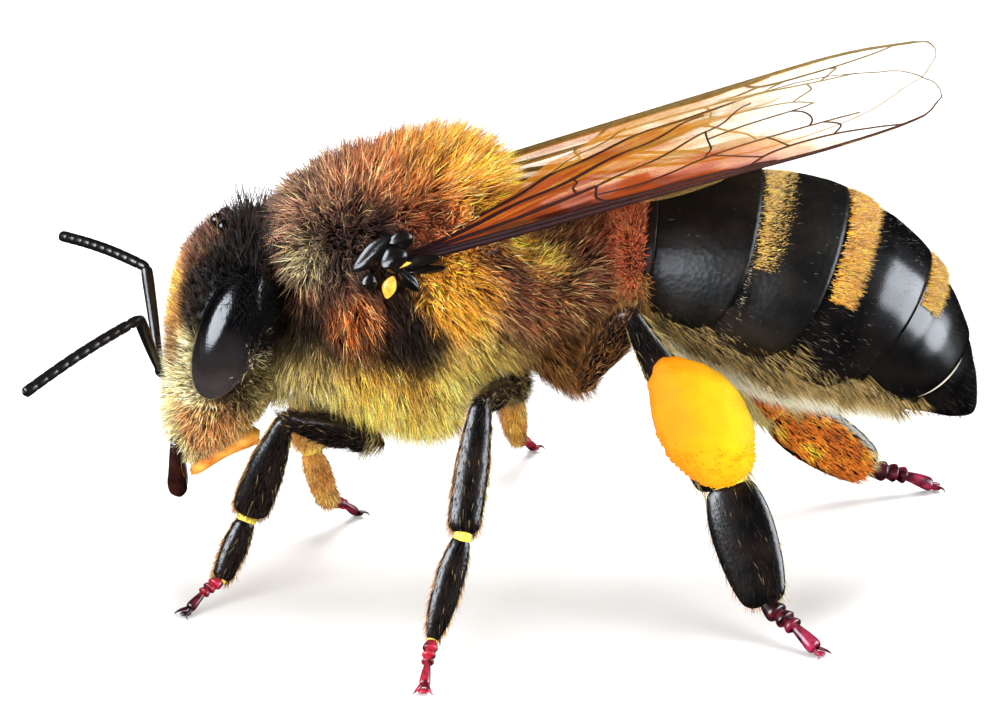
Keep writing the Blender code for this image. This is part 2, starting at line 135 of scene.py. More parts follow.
CAMERA_DISTANCE = 150 * MM
CAMERA_RISE = math.radians(20)
PICTURE_WIDTH = 15.5 * MM  # what the picture takes in at the bee's middle plane
lens = bpy.data.cameras.new("camera")
lens.sensor_width = 36
lens.lens = lens.sensor_width * CAMERA_DISTANCE / PICTURE_WIDTH
lens.clip_start = 1 * MM
lens.clip_end = 10
camera = bpy.data.objects.new("camera", lens)
back = Vector((0, -math.cos(CAMERA_RISE), math.sin(CAMERA_RISE)))
camera.location = STAND + back * CAMERA_DISTANCE
camera.rotation_euler = (-back).to_track_quat("-Z", "Y").to_euler()
bpy.context.scene.collection.objects.link(camera)
bpy.context.scene.camera = camera

# ---- Body skin ----------------------------------------------------------------------------------
# Head, thorax, waist and the inner abdomen are one skin of dark cuticle, without a seam. It lies
# inside the solids by the depth of the coat that stands on it, and dips where the neck joins.
SKIN_NODES = ["head", "left_eye", "right_eye", "thorax", "propodeum"]
SKIN_NODES += [f"abdomen_{number}" for number in range(1, 7)]
VOXEL = 0.07


def corners(node):
    """The corners of a node in millimetres, each once."""
    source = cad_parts[node].data
    places = np.empty(3 * len(source.vertices), np.float32)
    source.vertices.foreach_get("co", places)
    return np.unique(np.round(places.reshape(-1, 3) / MM, 3), axis=0)


def remeshed(bm, voxel, rounds):
    """One even, smoothed skin round the closed shapes of a bmesh."""
    source = bpy.data.meshes.new("remeshed")
    bm.to_mesh(source)
    bm.free()
    holder = bpy.data.objects.new("remeshed", source)
    bpy.context.scene.collection.objects.link(holder)
    voxels = holder.modifiers.new("voxels", "REMESH")
    voxels.mode = "VOXEL"
    voxels.voxel_size = voxel
    smooth = holder.modifiers.new("smooth", "SMOOTH")
    smooth.factor = 0.5
    smooth.iterations = rounds
    graph = bpy.context.evaluated_depsgraph_get()
    made = bmesh.new()
    made.from_mesh(holder.evaluated_get(graph).data)
    bpy.data.objects.remove(holder)
    bpy.data.meshes.remove(source)
    return made


def finish(bm, name, material, replaced=(), modifiers=()):
    """The piece of a bmesh in millimetres: in metres at the origin, smooth, riding on the body."""
    bmesh.ops.scale(bm, vec=(MM, MM, MM), verts=bm.verts)
    mesh = bpy.data.meshes.new(name)
    bm.to_mesh(mesh)
    bm.free()
    mesh.shade_smooth()
    mesh.materials.append(material)
    piece = bpy.data.objects.new(name, mesh)
    bpy.context.scene.collection.objects.link(piece)
    for kind, settings in modifiers:
        modifier = piece.modifiers.new(kind.lower(), kind)
        for setting, value in settings.items():
            setattr(modifier, setting, value)
    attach(piece, "root")
    if replaced:
        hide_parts(*replaced)
    return piece


def arrays_of(bm):
    """Places and normals of a bmesh's vertices, and the three corners of each of its triangles."""
    bm.normal_update()
    bm.verts.index_update()
    places = np.array([v.co for v in bm.verts])
    normals = np.array([v.normal for v in bm.verts])
    triangles = np.array([[loop.vert.index for loop in face] for face in bm.calc_loop_triangles()])
    return places, normals, triangles


# Where the coat changes colour: a node, the place in its box as shares from front to rear, from the
# middle plane outwards and from bottom to top, how far it spreads, and the colour.
MARKINGS = {
    "crown": ("head", (0.28, 0.25, 0.95), 0.26, "704638"),
    "vertex": ("head", (0.62, 0.55, 0.92), 0.36, "0D0B0A"),
    "brow": ("head", (0.03, 0.2, 0.80), 0.20, "A0582C"),
    "frons": ("head", (0.00, 0.2, 0.62), 0.26, "FFB044"),
    "eye_front": ("head", (0.20, 0.60, 0.74), 0.22, "2A1A12"),
    "face_middle": ("head", (0.05, 0.35, 0.50), 0.23, "8A5A30"),
    "eye_strip": ("head", (0.16, 0.80, 0.44), 0.26, "FFF0B0"),
    "clypeus": ("head", (0.03, 0.1, 0.28), 0.36, "F8E4A0"),
    "cheek": ("head", (0.45, 0.65, 0.25), 0.32, "B87A44"),
    "jowl": ("head", (0.86, 0.8, 0.42), 0.34, "1C1410"),
    "jowl_rear": ("head", (0.95, 0.75, 0.40), 0.24, "120C0A"),
    "nape": ("head", (0.95, 0.8, 0.55), 0.42, "0C0A09"),
    "mouth": ("head", (0.50, 0.4, 0.02), 0.20, "3A2418"),
    "neck_side": ("thorax", (0.00, 0.8, 0.42), 0.24, "0E0B0A"),
    "collar": ("thorax", (0.09, 0.62, 0.70), 0.17, "E0D09A"),
    "collar_side": ("thorax", (0.07, 0.75, 0.58), 0.14, "C0623A"),
    "shoulder": ("thorax", (0.08, 0.3, 0.85), 0.42, "7A5644"),
    "shoulder_side": ("thorax", (0.18, 0.85, 0.72), 0.36, "4C3C34"),
    "dark_front": ("thorax", (0.14, 0.85, 0.43), 0.34, "241815"),
    "throat": ("thorax", (0.05, 0.5, 0.16), 0.36, "FFE088"),
    "throat_side": ("thorax", (0.03, 0.8, 0.27), 0.32, "FFDC78"),
    "back_front": ("thorax", (0.34, 0.2, 0.95), 0.36, "A05A34"),
    "back_middle": ("thorax", (0.55, 0.1, 1.00), 0.36, "CC7A28"),
    "back_rear": ("thorax", (0.84, 0.1, 0.94), 0.52, "D88C1E"),
    "hinge_front": ("thorax", (0.30, 0.8, 0.76), 0.34, "3E2420"),
    "hinge_above": ("thorax", (0.66, 0.65, 0.84), 0.30, "924624"),
    "hinge_rear": ("thorax", (0.79, 0.45, 0.93), 0.22, "6E3A24"),
    "flank": ("thorax", (0.26, 0.95, 0.50), 0.25, "F0782A"),
    "dark_patch": ("thorax", (0.47, 1.0, 0.44), 0.36, "1E1410"),
    "low_flank": ("thorax", (0.40, 0.8, 0.18), 0.36, "FFBC44"),
    "wing_side": ("thorax", (0.76, 0.9, 0.60), 0.25, "FFA428"),
    "rear_side": ("thorax", (0.96, 0.9, 0.62), 0.31, "6A3424"),
    "rear_low": ("thorax", (1.00, 0.85, 0.46), 0.27, "462A1E"),
    "rear_gold": ("thorax", (0.84, 0.80, 0.27), 0.34, "FFD064"),
    "chest": ("thorax", (0.40, 0.4, 0.00), 0.60, "FFCE58"),
    "waist": ("propodeum", (0.28, 0.72, 0.86), 0.18, "FFC83C"),
    "waist_red": ("propodeum", (0.20, 0.9, 0.60), 0.28, "84482A"),
    "waist_dark": ("propodeum", (0.62, 0.75, 0.84), 0.28, "38221A"),
    "waist_spot": ("propodeum", (0.84, 0.7, 0.80), 0.12, "C89A48"),
    "waist_side": ("propodeum", (0.70, 0.9, 0.32), 0.34, "70462C"),
    "waist_top": ("propodeum", (0.50, 0.2, 1.00), 0.30, "5E3A24"),
    "waist_below": ("propodeum", (0.50, 0.3, 0.00), 0.50, "6A4A2C"),
    "first_ring": ("abdomen_1", (0.60, 0.5, 0.90), 0.50, "9A4630"),
    "second_ring": ("abdomen_2", (0.70, 0.6, 0.60), 0.80, "4A3A30"),
    "belly": ("abdomen_3", (0.50, 0.2, 0.00), 1.00, "DCC690"),
    "rings": ("abdomen_4", (0.50, 0.5, 0.80), 1.20, "5A4A3A"),
}


def in_box(node, shares):
    """The place in a node's box at these shares of its length, half width and height."""
    low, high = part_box(node)
    low, high = low / MM, high / MM
    x = low.x + shares[0] * (high.x - low.x)
    y = shares[1] * (high.y - low.y) / 2
    return Vector((x, y, low.z + shares[2] * (high.z - low.z)))


def pigment(code):
    """The linear rgb of an sRGB hex colour, to paint with."""
    return np.array(linear(code)[:3])


def markings(places):
    """The colour of the markings at each place, in linear rgb, the same on both sides."""
    folded = np.array(places, float)
    folded[:, 1] = np.abs(folded[:, 1] - MIDDLE)
    total = np.zeros(len(folded))
    colour = np.zeros((len(folded), 3))
    for node, shares, spread, code in MARKINGS.values():
        gap = ((folded - np.array(in_box(node, shares))) ** 2).sum(axis=1)
        weight = np.exp(-gap / (2 * spread**2)) + 1e-12
        total += weight
        colour += weight[:, None] * pigment(code)
    return colour / total[:, None]


form = bmesh.new()
for node in SKIN_NODES:
    hull = bmesh.new()
    for place in corners(node):
        hull.verts.new(place)
    made = bmesh.ops.convex_hull(hull, input=hull.verts)
    inside = [item for item in made["geom_interior"] if isinstance(item, bmesh.types.BMVert)]
    bmesh.ops.delete(hull, geom=inside, context="VERTS")
    mesh = bpy.data.meshes.new("hull")
    hull.to_mesh(mesh)
    hull.free()
    form.from_mesh(mesh)
    bpy.data.meshes.remove(mesh)
form = remeshed(form, VOXEL, 8)
form_surface = BVHTree.FromBMesh(form)

# Where the neck, the waist, the thorax's rear and the face lie along the bee.
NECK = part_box("head")[1].x / MM
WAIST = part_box("propodeum")[1].x / MM
THORAX_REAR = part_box("thorax")[1].x / MM
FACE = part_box("head")[0].x / MM
# How deep the skin lies under the solids along the body, and how much deeper where it faces up.
DEPTH_STOPS = [
    (FACE, 0.22, 0.30),
    (NECK - 0.5, 0.14, 0.38),
    (NECK, 0.16, 0.16),
    (NECK + 0.5, 0.30, 0.12),
    (NECK + 1.5, 0.34, 0.14),
    (THORAX_REAR - 0.3, 0.30, 0.12),
    (THORAX_REAR + 0.3, 0.24, 0.02),
    (WAIST, 0.05, 0.0),
    (WAIST + 0.5, 0.10, 0.0),
    (WAIST + 9, 0.08, 0.0),
]
places, normals, _ = arrays_of(form)
stops = np.array(DEPTH_STOPS)
depth = np.interp(places[:, 0], stops[:, 0], stops[:, 1])
depth += np.interp(places[:, 0], stops[:, 0], stops[:, 2]) * np.clip(normals[:, 2], 0, 1)
for vertex, place in zip(form.verts, places - normals * depth[:, None]):
    vertex.co = place
skin = remeshed(form, VOXEL, 4)
bmesh.ops.recalc_face_normals(skin, faces=skin.faces)


def add(tree, kind, inputs=None, stops=(), feeds=None, **settings):
    """A shader node with its settings. Each input is a value or the socket it is fed from, and the
    node's first output goes to the socket it feeds."""
    made = tree.nodes.new("ShaderNode" + kind)
    for name, value in settings.items():
        setattr(made, name, value)
    for name, value in (inputs or {}).items():
        if isinstance(value, bpy.types.NodeSocket):
            tree.links.new(value, made.inputs[name])
        else:
            made.inputs[name].default_value = value
    for number, (place, colour) in enumerate(stops):
        elements = made.color_ramp.elements
        stop = elements[number] if number < 2 else elements.new(place)
        stop.position = place
        stop.color = colour
    if feeds is not None:
        tree.links.new(made.outputs[0], feeds)
    return made


def clouded(tree, shader, size, detail, stops, tinted=False):
    """Colours a shader in soft clouds of this size in millimetres, as shades of the piece's painted
    tint where it has one. Returns the sockets of the place and of the clouds."""
    place = add(tree, "TexCoord").outputs["Object"]
    scale = {"Vector": place, "Scale": 1 / (size * MM), "Detail": detail}
    clouds = add(tree, "TexNoise", scale).outputs["Fac"]
    shade = add(tree, "ValToRGB", {"Fac": clouds}, stops).outputs["Color"]
    if tinted:
        tint = add(tree, "Attribute", attribute_name="tint").outputs["Color"]
        mixed = add(tree, "Mix", {0: 1.0, 6: tint, 7: shade}, data_type="RGBA", blend_type="MULTIPLY")
        shade = mixed.outputs[2]
    tree.links.new(shade, shader.inputs["Base Color"])
    return place, clouds


# Bare cuticle is dark brown chitin: satin, finely pitted, with the coat's colours in its down.
cuticle, tree, shader = finish_of("dark_chitin", {"Roughness": 0.48, "IOR": 1.56})
shades = [(0.35, (0.06, 0.05, 0.04, 1)), (0.70, (0.35, 0.30, 0.25, 1))]
place, _ = clouded(tree, shader, 0.20, 4, shades, tinted=True)
pits = add(tree, "TexVoronoi", {"Vector": place, "Scale": 1 / (0.05 * MM)})  # pits 0.05 mm apart
relief = {"Height": pits.outputs["Distance"], "Strength": 0.35, "Distance": 0.01 * MM}
add(tree, "Bump", relief, feeds=shader.inputs["Normal"])


def paint(piece, colours):
    """Stores a colour for each vertex of a piece, for its material to read."""
    layer = piece.data.attributes.new("tint", "FLOAT_COLOR", "POINT")
    full = np.ones((len(piece.data.vertices), 4), np.float32)
    full[:, :3] = colours
    layer.data.foreach_set("color", full.ravel())


skin_arrays = arrays_of(skin)
skin_places, _, skin_triangles = skin_arrays
body_skin = finish(skin, "body_skin", cuticle, [n for n in SKIN_NODES if "eye" not in n])
paint(body_skin, markings(skin_places))

# ---- Eyes ---------------------------------------------------------------------------------------
# Each compound eye is a tall bulge of some 5000 clear lenses of chitin over dark pigment, so it is
# black and glossy with a fine honeycomb. Three bead-like simple eyes stand on the crown.
eye_black, tree, shader = finish_of(
    "polished_lens_chitin", {"Roughness": 0.16, "IOR": 1.56, "Specular IOR Level": 0.35}
)
FACET = 1 / (0.045 * MM)  # real lenses are 0.025 mm across: drawn coarser, to show
place = add(tree, "TexCoord").outputs["Object"]
cells = add(tree, "TexVoronoi", {"Vector": place, "Scale": FACET, "Randomness": 0.15})
relief = {"Height": cells.outputs["Distance"], "Strength": 0.22, "Distance": -0.006 * MM}
add(tree, "Bump", relief, feeds=shader.inputs["Normal"])
patches = add(tree, "TexNoise", {"Vector": place, "Scale": 1 / (0.7 * MM), "Detail": 3})
# A painted reflection of the pale floor: the eye is painted lighter towards its foot, 3.7 mm above the
# ground, in soft patches, and black from 4.8 mm up.
height = add(tree, "SeparateXYZ", {"Vector": place}).outputs["Z"]
span = {"Value": height, "From Min": 4.8 * MM, "From Max": 3.7 * MM, "To Min": 0.1, "To Max": 1.1}
floor_reflection = add(tree, "MapRange", span).outputs["Result"]
amount = add(tree, "Math", {0: patches.outputs["Fac"], 1: floor_reflection}, operation="MULTIPLY").outputs["Value"]
shades = [(0.10, linear("040304")), (0.62, linear("2E2929"))]
add(tree, "ValToRGB", {"Fac": amount}, shades, feeds=shader.inputs["Base Color"])


def ellipsoid(bm, places, columns, rows):
    """The ellipsoid that the corners of an egg-shaped node lie on. Returns its middle, axes and half
    sizes."""
    middle = (places.max(axis=0) + places.min(axis=0)) / 2
    _, axes = np.linalg.eigh(np.cov((places - middle).T))
    if np.linalg.det(axes) < 0:
        axes[:, 0] *= -1
    half = np.abs((places - middle) @ axes).max(axis=0)
    turn = Matrix(axes.tolist()).to_4x4()
    made = bmesh.ops.create_uvsphere(bm, u_segments=columns, v_segments=rows, radius=1)
    bmesh.ops.scale(bm, vec=half, verts=made["verts"])
    bmesh.ops.transform(bm, matrix=Matrix.Translation(middle) @ turn, verts=made["verts"])
    return middle, axes, half


SIDES = {"left": -1, "right": 1}
eyes = {}
for name in SIDES:
    bm = bmesh.new()
    eyes[name] = ellipsoid(bm, corners(name + "_eye"), 56, 40)
    finish(bm, name + "_compound_eye", eye_black, [name + "_eye"])

# Each simple eye's place on the crown: share from front to rear, and from the middle outwards.
OCELLI = [(0.42, 0.0), (0.55, 0.16), (0.55, -0.16)]
OCELLUS_RADIUS = 0.12
OCELLUS_SINK = 0.28  # how deep its middle lies under the coat's tips
bm = bmesh.new()
for forward, outward in OCELLI:
    above = in_box("head", (forward, outward, 1.3))
    above.y += MIDDLE
    hit, normal, _, _ = form_surface.ray_cast(above, Vector((0, 0, -1)))
    made = bmesh.ops.create_uvsphere(bm, u_segments=20, v_segments=12, radius=OCELLUS_RADIUS)
    bmesh.ops.translate(bm, vec=hit - OCELLUS_SINK * normal, verts=made["verts"])
finish(bm, "simple_eyes", eye_black)

# ---- Feelers ------------------------------------------------------------------------------------
# Each feeler is a long first joint from the face, a small second one, and ten short barrels of one
# width, with a round tip: smooth black chitin with a very fine grain.
feeler_black, tree, shader = finish_of("smooth_black_chitin", {"Roughness": 0.30, "IOR": 1.56})
_, grain = clouded(tree, shader, 0.03, 2, [(0.35, linear("060505")), (0.75, linear("16120F"))])
relief = {"Height": grain, "Strength": 0.3, "Distance": 0.008 * MM}
add(tree, "Bump", relief, feeds=shader.inputs["Normal"])
FORWARD = Vector((-1, 0, 0))
UP = Vector((0, 0, 1))


def node_bmesh(node):
    """A merged copy of a node's mesh, in millimetres."""
    made = bmesh.new()
    made.from_mesh(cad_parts[node].data)
    bmesh.ops.scale(made, vec=(1 / MM, 1 / MM, 1 / MM), verts=made.verts)
    bmesh.ops.remove_doubles(made, verts=made.verts, dist=0.002)
    return made


def surface_of(node):
    """A search tree of a node's faces, in millimetres."""
    shape = node_bmesh(node)
    found = BVHTree.FromBMesh(shape)
    shape.free()
    return found


def meeting(first, second, reach=0.06):
    """The corners of two nodes that lie where the two meet."""
    found = []
    for one, other in ((first, second), (second, first)):
        surface = surface_of(other)
        found += [p for p in corners(one) if surface.find_nearest(Vector(p))[3] < reach]
    return np.array(found)


def facing(origin, along, up):
    """The matrix whose Z runs along, whose Y is nearest to up, and whose X is across."""
    z = Vector(along).normalized()
    x = Vector(up).cross(z).normalized()
    turn = Matrix((x, z.cross(x), z)).transposed()
    return Matrix.Translation(origin) @ turn.to_4x4()


def between(rows, share):
    """The row at this share of the table's length, on a smooth curve through its rows."""
    place = min(max(share, 0), 1) * (len(rows) - 1)
    at = min(int(place), len(rows) - 2)
    t = place - at
    before, after = rows[max(at - 1, 0)], rows[min(at + 2, len(rows) - 1)]
    start, end = rows[at], rows[at + 1]
    blended = []
    for p, a, b, q in zip(before, start, end, after):
        bend = (2 * t**3 - 3 * t**2 + 1) * a + (3 * t**2 - 2 * t**3) * b
        slope = (t**3 - 2 * t**2 + t) * (b - p) / 2 + (t**3 - t**2) * (q - a) / 2
        blended.append(bend + slope)
    return blended


def loft(bm, rings, sides):
    """A closed shape through rings, each a matrix, a half width and a half height."""
    last = None
    shape = []
    for place, half_width, half_height in rings:
        made = bmesh.ops.create_circle(bm, segments=sides, radius=1)["verts"]
        bmesh.ops.scale(bm, vec=(half_width, half_height, 1), verts=made)
        bmesh.ops.transform(bm, matrix=place, verts=made)
        loop = list({edge for vertex in made for edge in vertex.link_edges})
        if last:
            bmesh.ops.bridge_loops(bm, edges=last + loop)
        else:
            bmesh.ops.contextual_create(bm, geom=loop)
        last = loop
        shape += made
    bmesh.ops.contextual_create(bm, geom=last)
    faces = list({face for vertex in shape for face in vertex.link_faces})
    bmesh.ops.recalc_face_normals(bm, faces=faces)


def limb(bm, start, end, rows, up, bow, steps, sides):
    """A limb lofted from start to end through smoothed rows. The bow is how far its middle bends."""
    rings = []
    for step in range(steps + 1):
        share, wide, thick = between(rows, step / steps)
        centre = start + (end - start) * share + bow * math.sin(math.pi * min(max(share, 0), 1))
        rings.append((facing(centre, end - start, up), wide, thick))
    loft(bm, rings, sides)


def far_end(node, point, reach=0.3):
    """The middle of a limb node's end away from a point."""
    places = corners(node)
    gaps = np.linalg.norm(places - np.array(point), axis=1)
    return Vector(places[gaps > gaps.max() - reach].mean(axis=0))


# Rows of a limb are its share of the length, its half width and its half thickness.
SCAPE_ROWS = [
    (0.00, 0.075, 0.075),
    (0.06, 0.085, 0.085),
    (0.11, 0.055, 0.055),
    (0.20, 0.070, 0.070),
    (0.60, 0.088, 0.088),
    (0.94, 0.094, 0.094),
    (1.00, 0.060, 0.060),
]
# Rows of the outer part are a share of its length and of its radius: the small second joint, which
# takes the pedicel's share, then each barrel within its own length, and the round tip.
BARRELS = 10
BARREL_RADIUS = 0.088
PEDICEL = 0.10
PEDICEL_ROWS = [(-0.02, 0.4), (0.0, 0.75), (0.03, 0.92), (0.07, 0.98), (0.095, 0.7)]
BARREL_ROWS = [(0.02, 0.91), (0.12, 0.99), (0.50, 1.00), (0.88, 0.99), (0.98, 0.91)]
TIP_ROWS = [(1.0, 0.72), (1.012, 0.45), (1.018, 0.12)]
FEELER_BOW = 0.05
SCAPE_ROOT = 0.35  # how far the first joint runs in under the face's coat
for name, side in SIDES.items():
    elbow = Vector(meeting(name + "_scape", name + "_flagellum").mean(axis=0))
    base = far_end(name + "_scape", elbow)
    tip = far_end(name + "_flagellum", elbow)
    base += (base - elbow).normalized() * SCAPE_ROOT
    bm = bmesh.new()
    limb(bm, base, elbow, SCAPE_ROWS, FORWARD, Vector((0, FEELER_BOW * side, 0)), steps=24, sides=16)
    along = tip - elbow
    rows = list(PEDICEL_ROWS)
    for barrel in range(BARRELS):
        rows += [(PEDICEL + (1 - PEDICEL) * (barrel + share) / BARRELS, size) for share, size in BARREL_ROWS]
    rings = []
    for share, size in rows + TIP_ROWS:
        bow = FEELER_BOW * math.sin(math.pi * min(max(share, 0), 1)) * UP
        place_at = facing(elbow + along * share + bow, along, UP)
        rings.append((place_at, size * BARREL_RADIUS, size * BARREL_RADIUS))
    loft(bm, rings, 14)
    finish(bm, name + "_feeler", feeler_black, [name + "_scape", name + "_flagellum"])

# ---- Jaws, lip and tongue -----------------------------------------------------------------------
# The jaws are smooth dark spoons hinged at the corners of the mouth, below the shield and lip plates.
# The tongue's amber blades lie folded back under the head.
jaw_brown, tree, shader = finish_of("glossy_brown_chitin", {"Roughness": 0.25, "IOR": 1.56})
_, streaks = clouded(tree, shader, 0.25, 4, [(0.35, linear("0A0505")), (0.70, linear("34160F"))])
relief = {"Height": streaks, "Strength": 0.2, "Distance": 0.02 * MM}
add(tree, "Bump", relief, feeds=shader.inputs["Normal"])
JAW_ROWS = [
    (0.00, 0.10, 0.12),
    (0.25, 0.10, 0.11),
    (0.50, 0.11, 0.10),
    (0.72, 0.15, 0.09),
    (0.90, 0.14, 0.07),
    (1.00, 0.05, 0.03),
]
for name, side in SIDES.items():
    places = corners(name + "_mandible")
    low, high = places[:, 2].min(), places[:, 2].max()
    root = Vector(places[places[:, 2] > high - 0.25].mean(axis=0)) + Vector((0.14, side * 0.10, 0.30))
    tip = Vector(places[places[:, 2] < low + 0.12].mean(axis=0)) + Vector((0.05, -side * 0.04, -0.04))
    bm = bmesh.new()
    limb(bm, root, tip, JAW_ROWS, (0.3, side, 0), Vector((-0.05, side * 0.10, 0)), steps=20, sides=18)
    finish(bm, name + "_jaw", jaw_brown, [name + "_mandible"])

tongue_amber, tree, shader = finish_of("clear_amber_chitin", {"Roughness": 0.28, "IOR": 1.5})
clouded(tree, shader, 0.2, 3, [(0.30, linear("B8641C")), (0.70, linear("F2B04A"))])
places = corners("tongue")
root = Vector(places[places[:, 0] < places[:, 0].min() + 0.25].mean(axis=0))
tip = Vector(places[places[:, 0] > places[:, 0].max() - 0.25].mean(axis=0))
# Each blade: sideways place at root and tip, drop, and how wide and thick it is.
BLADES = [(0.16, 0.08, 0.02, 0.15, 0.15), (-0.16, -0.08, 0.02, 0.15, 0.15), (0.0, 0.0, -0.10, 0.09, 0.10)]
BLADE_STEPS = 16
bm = bmesh.new()
for at_root, at_tip, drop, wide, thick in BLADES:
    rings = []
    for step in range(BLADE_STEPS + 1):
        share = step / BLADE_STEPS
        size = math.sqrt(max(1 - (2 * share - 1) ** 4, 0.01))
        centre = root + (tip - root) * share
        centre += Vector((0, at_root + (at_tip - at_root) * share, drop + 0.10 * math.sin(math.pi * share)))
        rings.append((facing(centre, tip - root, UP), wide * size, thick * size))
    loft(bm, rings, 14)
finish(bm, "folded_tongue", tongue_amber, ["tongue"])

# The shield over the mouth and the lip under it: smooth black plates, seen through the face's down.
shell_black, tree, shader = finish_of(
    "glossy_black_chitin", {"Roughness": 0.25, "IOR": 1.56, "Specular IOR Level": 0.40}
)
place, _ = clouded(tree, shader, 0.6, 4, [(0.40, linear("040404")), (0.80, linear("14100E"))])
PUNCTURE = 1 / (0.09 * MM)  # the pits that hairs once stood in, 0.09 mm apart
pits = add(tree, "TexVoronoi", {"Vector": place, "Scale": PUNCTURE}).outputs["Distance"]
dots = add(tree, "ValToRGB", {"Fac": pits}, [(0.0, (0, 0, 0, 1)), (0.22, (1, 1, 1, 1))])
fine = add(tree, "TexNoise", {"Vector": place, "Scale": PUNCTURE * 3, "Detail": 3})
height = add(tree, "Math", {0: dots.outputs["Color"], 1: fine.outputs["Fac"]}, operation="ADD")
relief = {"Height": height.outputs["Value"], "Strength": 0.16, "Distance": 0.008 * MM}
add(tree, "Bump", relief, feeds=shader.inputs["Normal"])
# Each plate: its middle's height share, half width, half height and how far it stands off the skin.
FACE_PLATES = [(0.27, 0.52, 0.40, 0.10), (0.10, 0.30, 0.14, 0.12)]
FACE_WALL = ("SOLIDIFY", {"thickness": 0.03 * MM, "offset": -1})


def patch(bm, across, along, place_at):
    """A sheet whose corner at u, v (each from -1 to 1) is moved to place_at(u, v)."""
    made = bmesh.ops.create_grid(bm, x_segments=across, y_segments=along, size=1)
    for vertex in made["verts"]:
        vertex.co = place_at(vertex.co.x, vertex.co.y)


skin_surface = BVHTree.FromPolygons(skin_places.tolist(), skin_triangles.tolist())
bm = bmesh.new()
for height_share, half_width, half_height, lift in FACE_PLATES:
    middle = in_box("head", (-0.5, 0, height_share))

    def on_face(u, v, middle=middle, half_width=half_width, half_height=half_height, lift=lift):
        y, z = u * math.sqrt(1 - v * v / 2), v * math.sqrt(1 - u * u / 2)
        start = middle + Vector((0, MIDDLE + y * half_width, z * half_height))
        hit, normal, _, _ = skin_surface.ray_cast(start, Vector((1, 0, 0)))
        rise = lift * (1 - max(abs(u), abs(v)) ** 4)
        return (hit if hit else start) + (normal if normal else Vector()) * (rise - 0.02)

    patch(bm, 16, 16, on_face)
bmesh.ops.recalc_face_normals(bm, faces=bm.faces)
finish(bm, "face_plates", shell_black, modifiers=[FACE_WALL])

# ---- Wing bases ---------------------------------------------------------------------------------
# A long black scale covers each wing's hinge. Small black and yellow plates of the hinge lie under
# and behind it, flat and keeled. All are smooth hard chitin, half sunk in the coat.
hinge_yellow, tree, shader = finish_of("clear_yellow_chitin", {"Roughness": 0.3, "IOR": 1.5})
clouded(tree, shader, 0.15, 3, [(0.35, linear("B8791A")), (0.70, linear("EDBE48"))])
# The plates of the hinge: each one's middle from the middle of the wing's scale, back, outwards and
# up, then its half length, thickness and breadth, and how far its front end dips, in degrees.
HINGE_PLATES = [
    ((-0.34, -0.06, 0.14), (0.46, 0.09, 0.15), 40),
    ((-0.05, 0.02, 0.06), (0.24, 0.12, 0.19), 25),
    ((0.05, -0.06, 0.36), (0.20, 0.08, 0.13), 10),
    ((-0.42, 0.00, -0.30), (0.13, 0.08, 0.13), 0),
    ((0.16, 0.00, -0.24), (0.28, 0.07, 0.09), -50),
    ((0.34, 0.02, 0.04), (0.34, 0.07, 0.08), 14),
    ((0.46, 0.00, -0.10), (0.30, 0.06, 0.06), 6),
]
YELLOW_PLATES = [
    ((-0.12, 0.00, -0.38), (0.11, 0.06, 0.16), -16),
    ((0.12, 0.06, 0.00), (0.14, 0.04, 0.03), 20),
]


def hinge_plate(bm, middle, side, offset, sizes, dip):
    """A flat, round-edged plate of the wing's hinge, with a shallow keel along it."""
    made = bmesh.ops.create_uvsphere(bm, u_segments=28, v_segments=16, radius=1)["verts"]
    for vertex in made:
        x, y, z = vertex.co
        keel = 1 + 0.5 * math.exp(-((z - 0.15 * math.sin(3 * x)) ** 2) / 0.04)
        vertex.co = (x, y * keel * (1 - 0.3 * x), z * (1 + 0.2 * math.sin(2.5 * x + 1)))
    bmesh.ops.scale(bm, vec=sizes, verts=made)
    turn = Matrix.Rotation(-math.radians(dip), 4, "Y")
    spot = middle + Vector((offset[0], side * offset[1], offset[2]))
    bmesh.ops.transform(bm, matrix=Matrix.Translation(spot) @ turn, verts=made)


hinges = {}
for name, side in SIDES.items():
    low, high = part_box(name + "_tegula")
    hinges[name] = (low + high) / 2 / MM
    bm = bmesh.new()
    for plate in HINGE_PLATES:
        hinge_plate(bm, hinges[name], side, *plate)
    finish(bm, name + "_wing_scale", shell_black, [name + "_tegula"])
    bm = bmesh.new()
    for plate in YELLOW_PLATES:
        hinge_plate(bm, hinges[name], side, *plate)
    finish(bm, name + "_hinge_edge", hinge_yellow)

# ---- Abdomen plates -----------------------------------------------------------------------------
# Six black back plates slide over each other like roof tiles, each rear edge lying over the next
# plate, and hang over the belly plates at the sides. All are thin, hard, curved shells of chitin.
RING_COUNT = 6
seams = [meeting("propodeum", "abdomen_1")]
seams += [meeting(f"abdomen_{n}", f"abdomen_{n + 1}") for n in range(1, RING_COUNT)]
stations = []
for points in seams:
    centre = points.mean(axis=0)
    normal = np.linalg.eigh(np.cov((points - centre).T))[1][:, 0]
    stations.append((Vector(centre), Vector(normal * np.sign(normal[0]))))
last = corners("abdomen_6")
reach = (last - np.array(stations[-1][0])) @ np.array(stations[-1][1])
tail = Vector(last[reach > reach.max() - 0.15].mean(axis=0))
stations.append((tail, (tail - stations[-1][0]).normalized()))


def axis_at(s):
    """The place and direction of the abdomen's middle line, s segments from its front."""
    number = min(max(int(s), 0), RING_COUNT - 1)
    t = s - number
    (start, way_in), (end, way_out) = stations[number], stations[number + 1]
    chord = (end - start).length
    place = start * (2 * t**3 - 3 * t**2 + 1) + end * (3 * t**2 - 2 * t**3)
    place += chord * (way_in * (t**3 - 2 * t**2 + t) + way_out * (t**3 - t**2))
    return place, way_in.lerp(way_out, min(max(t, 0), 1)).normalized()


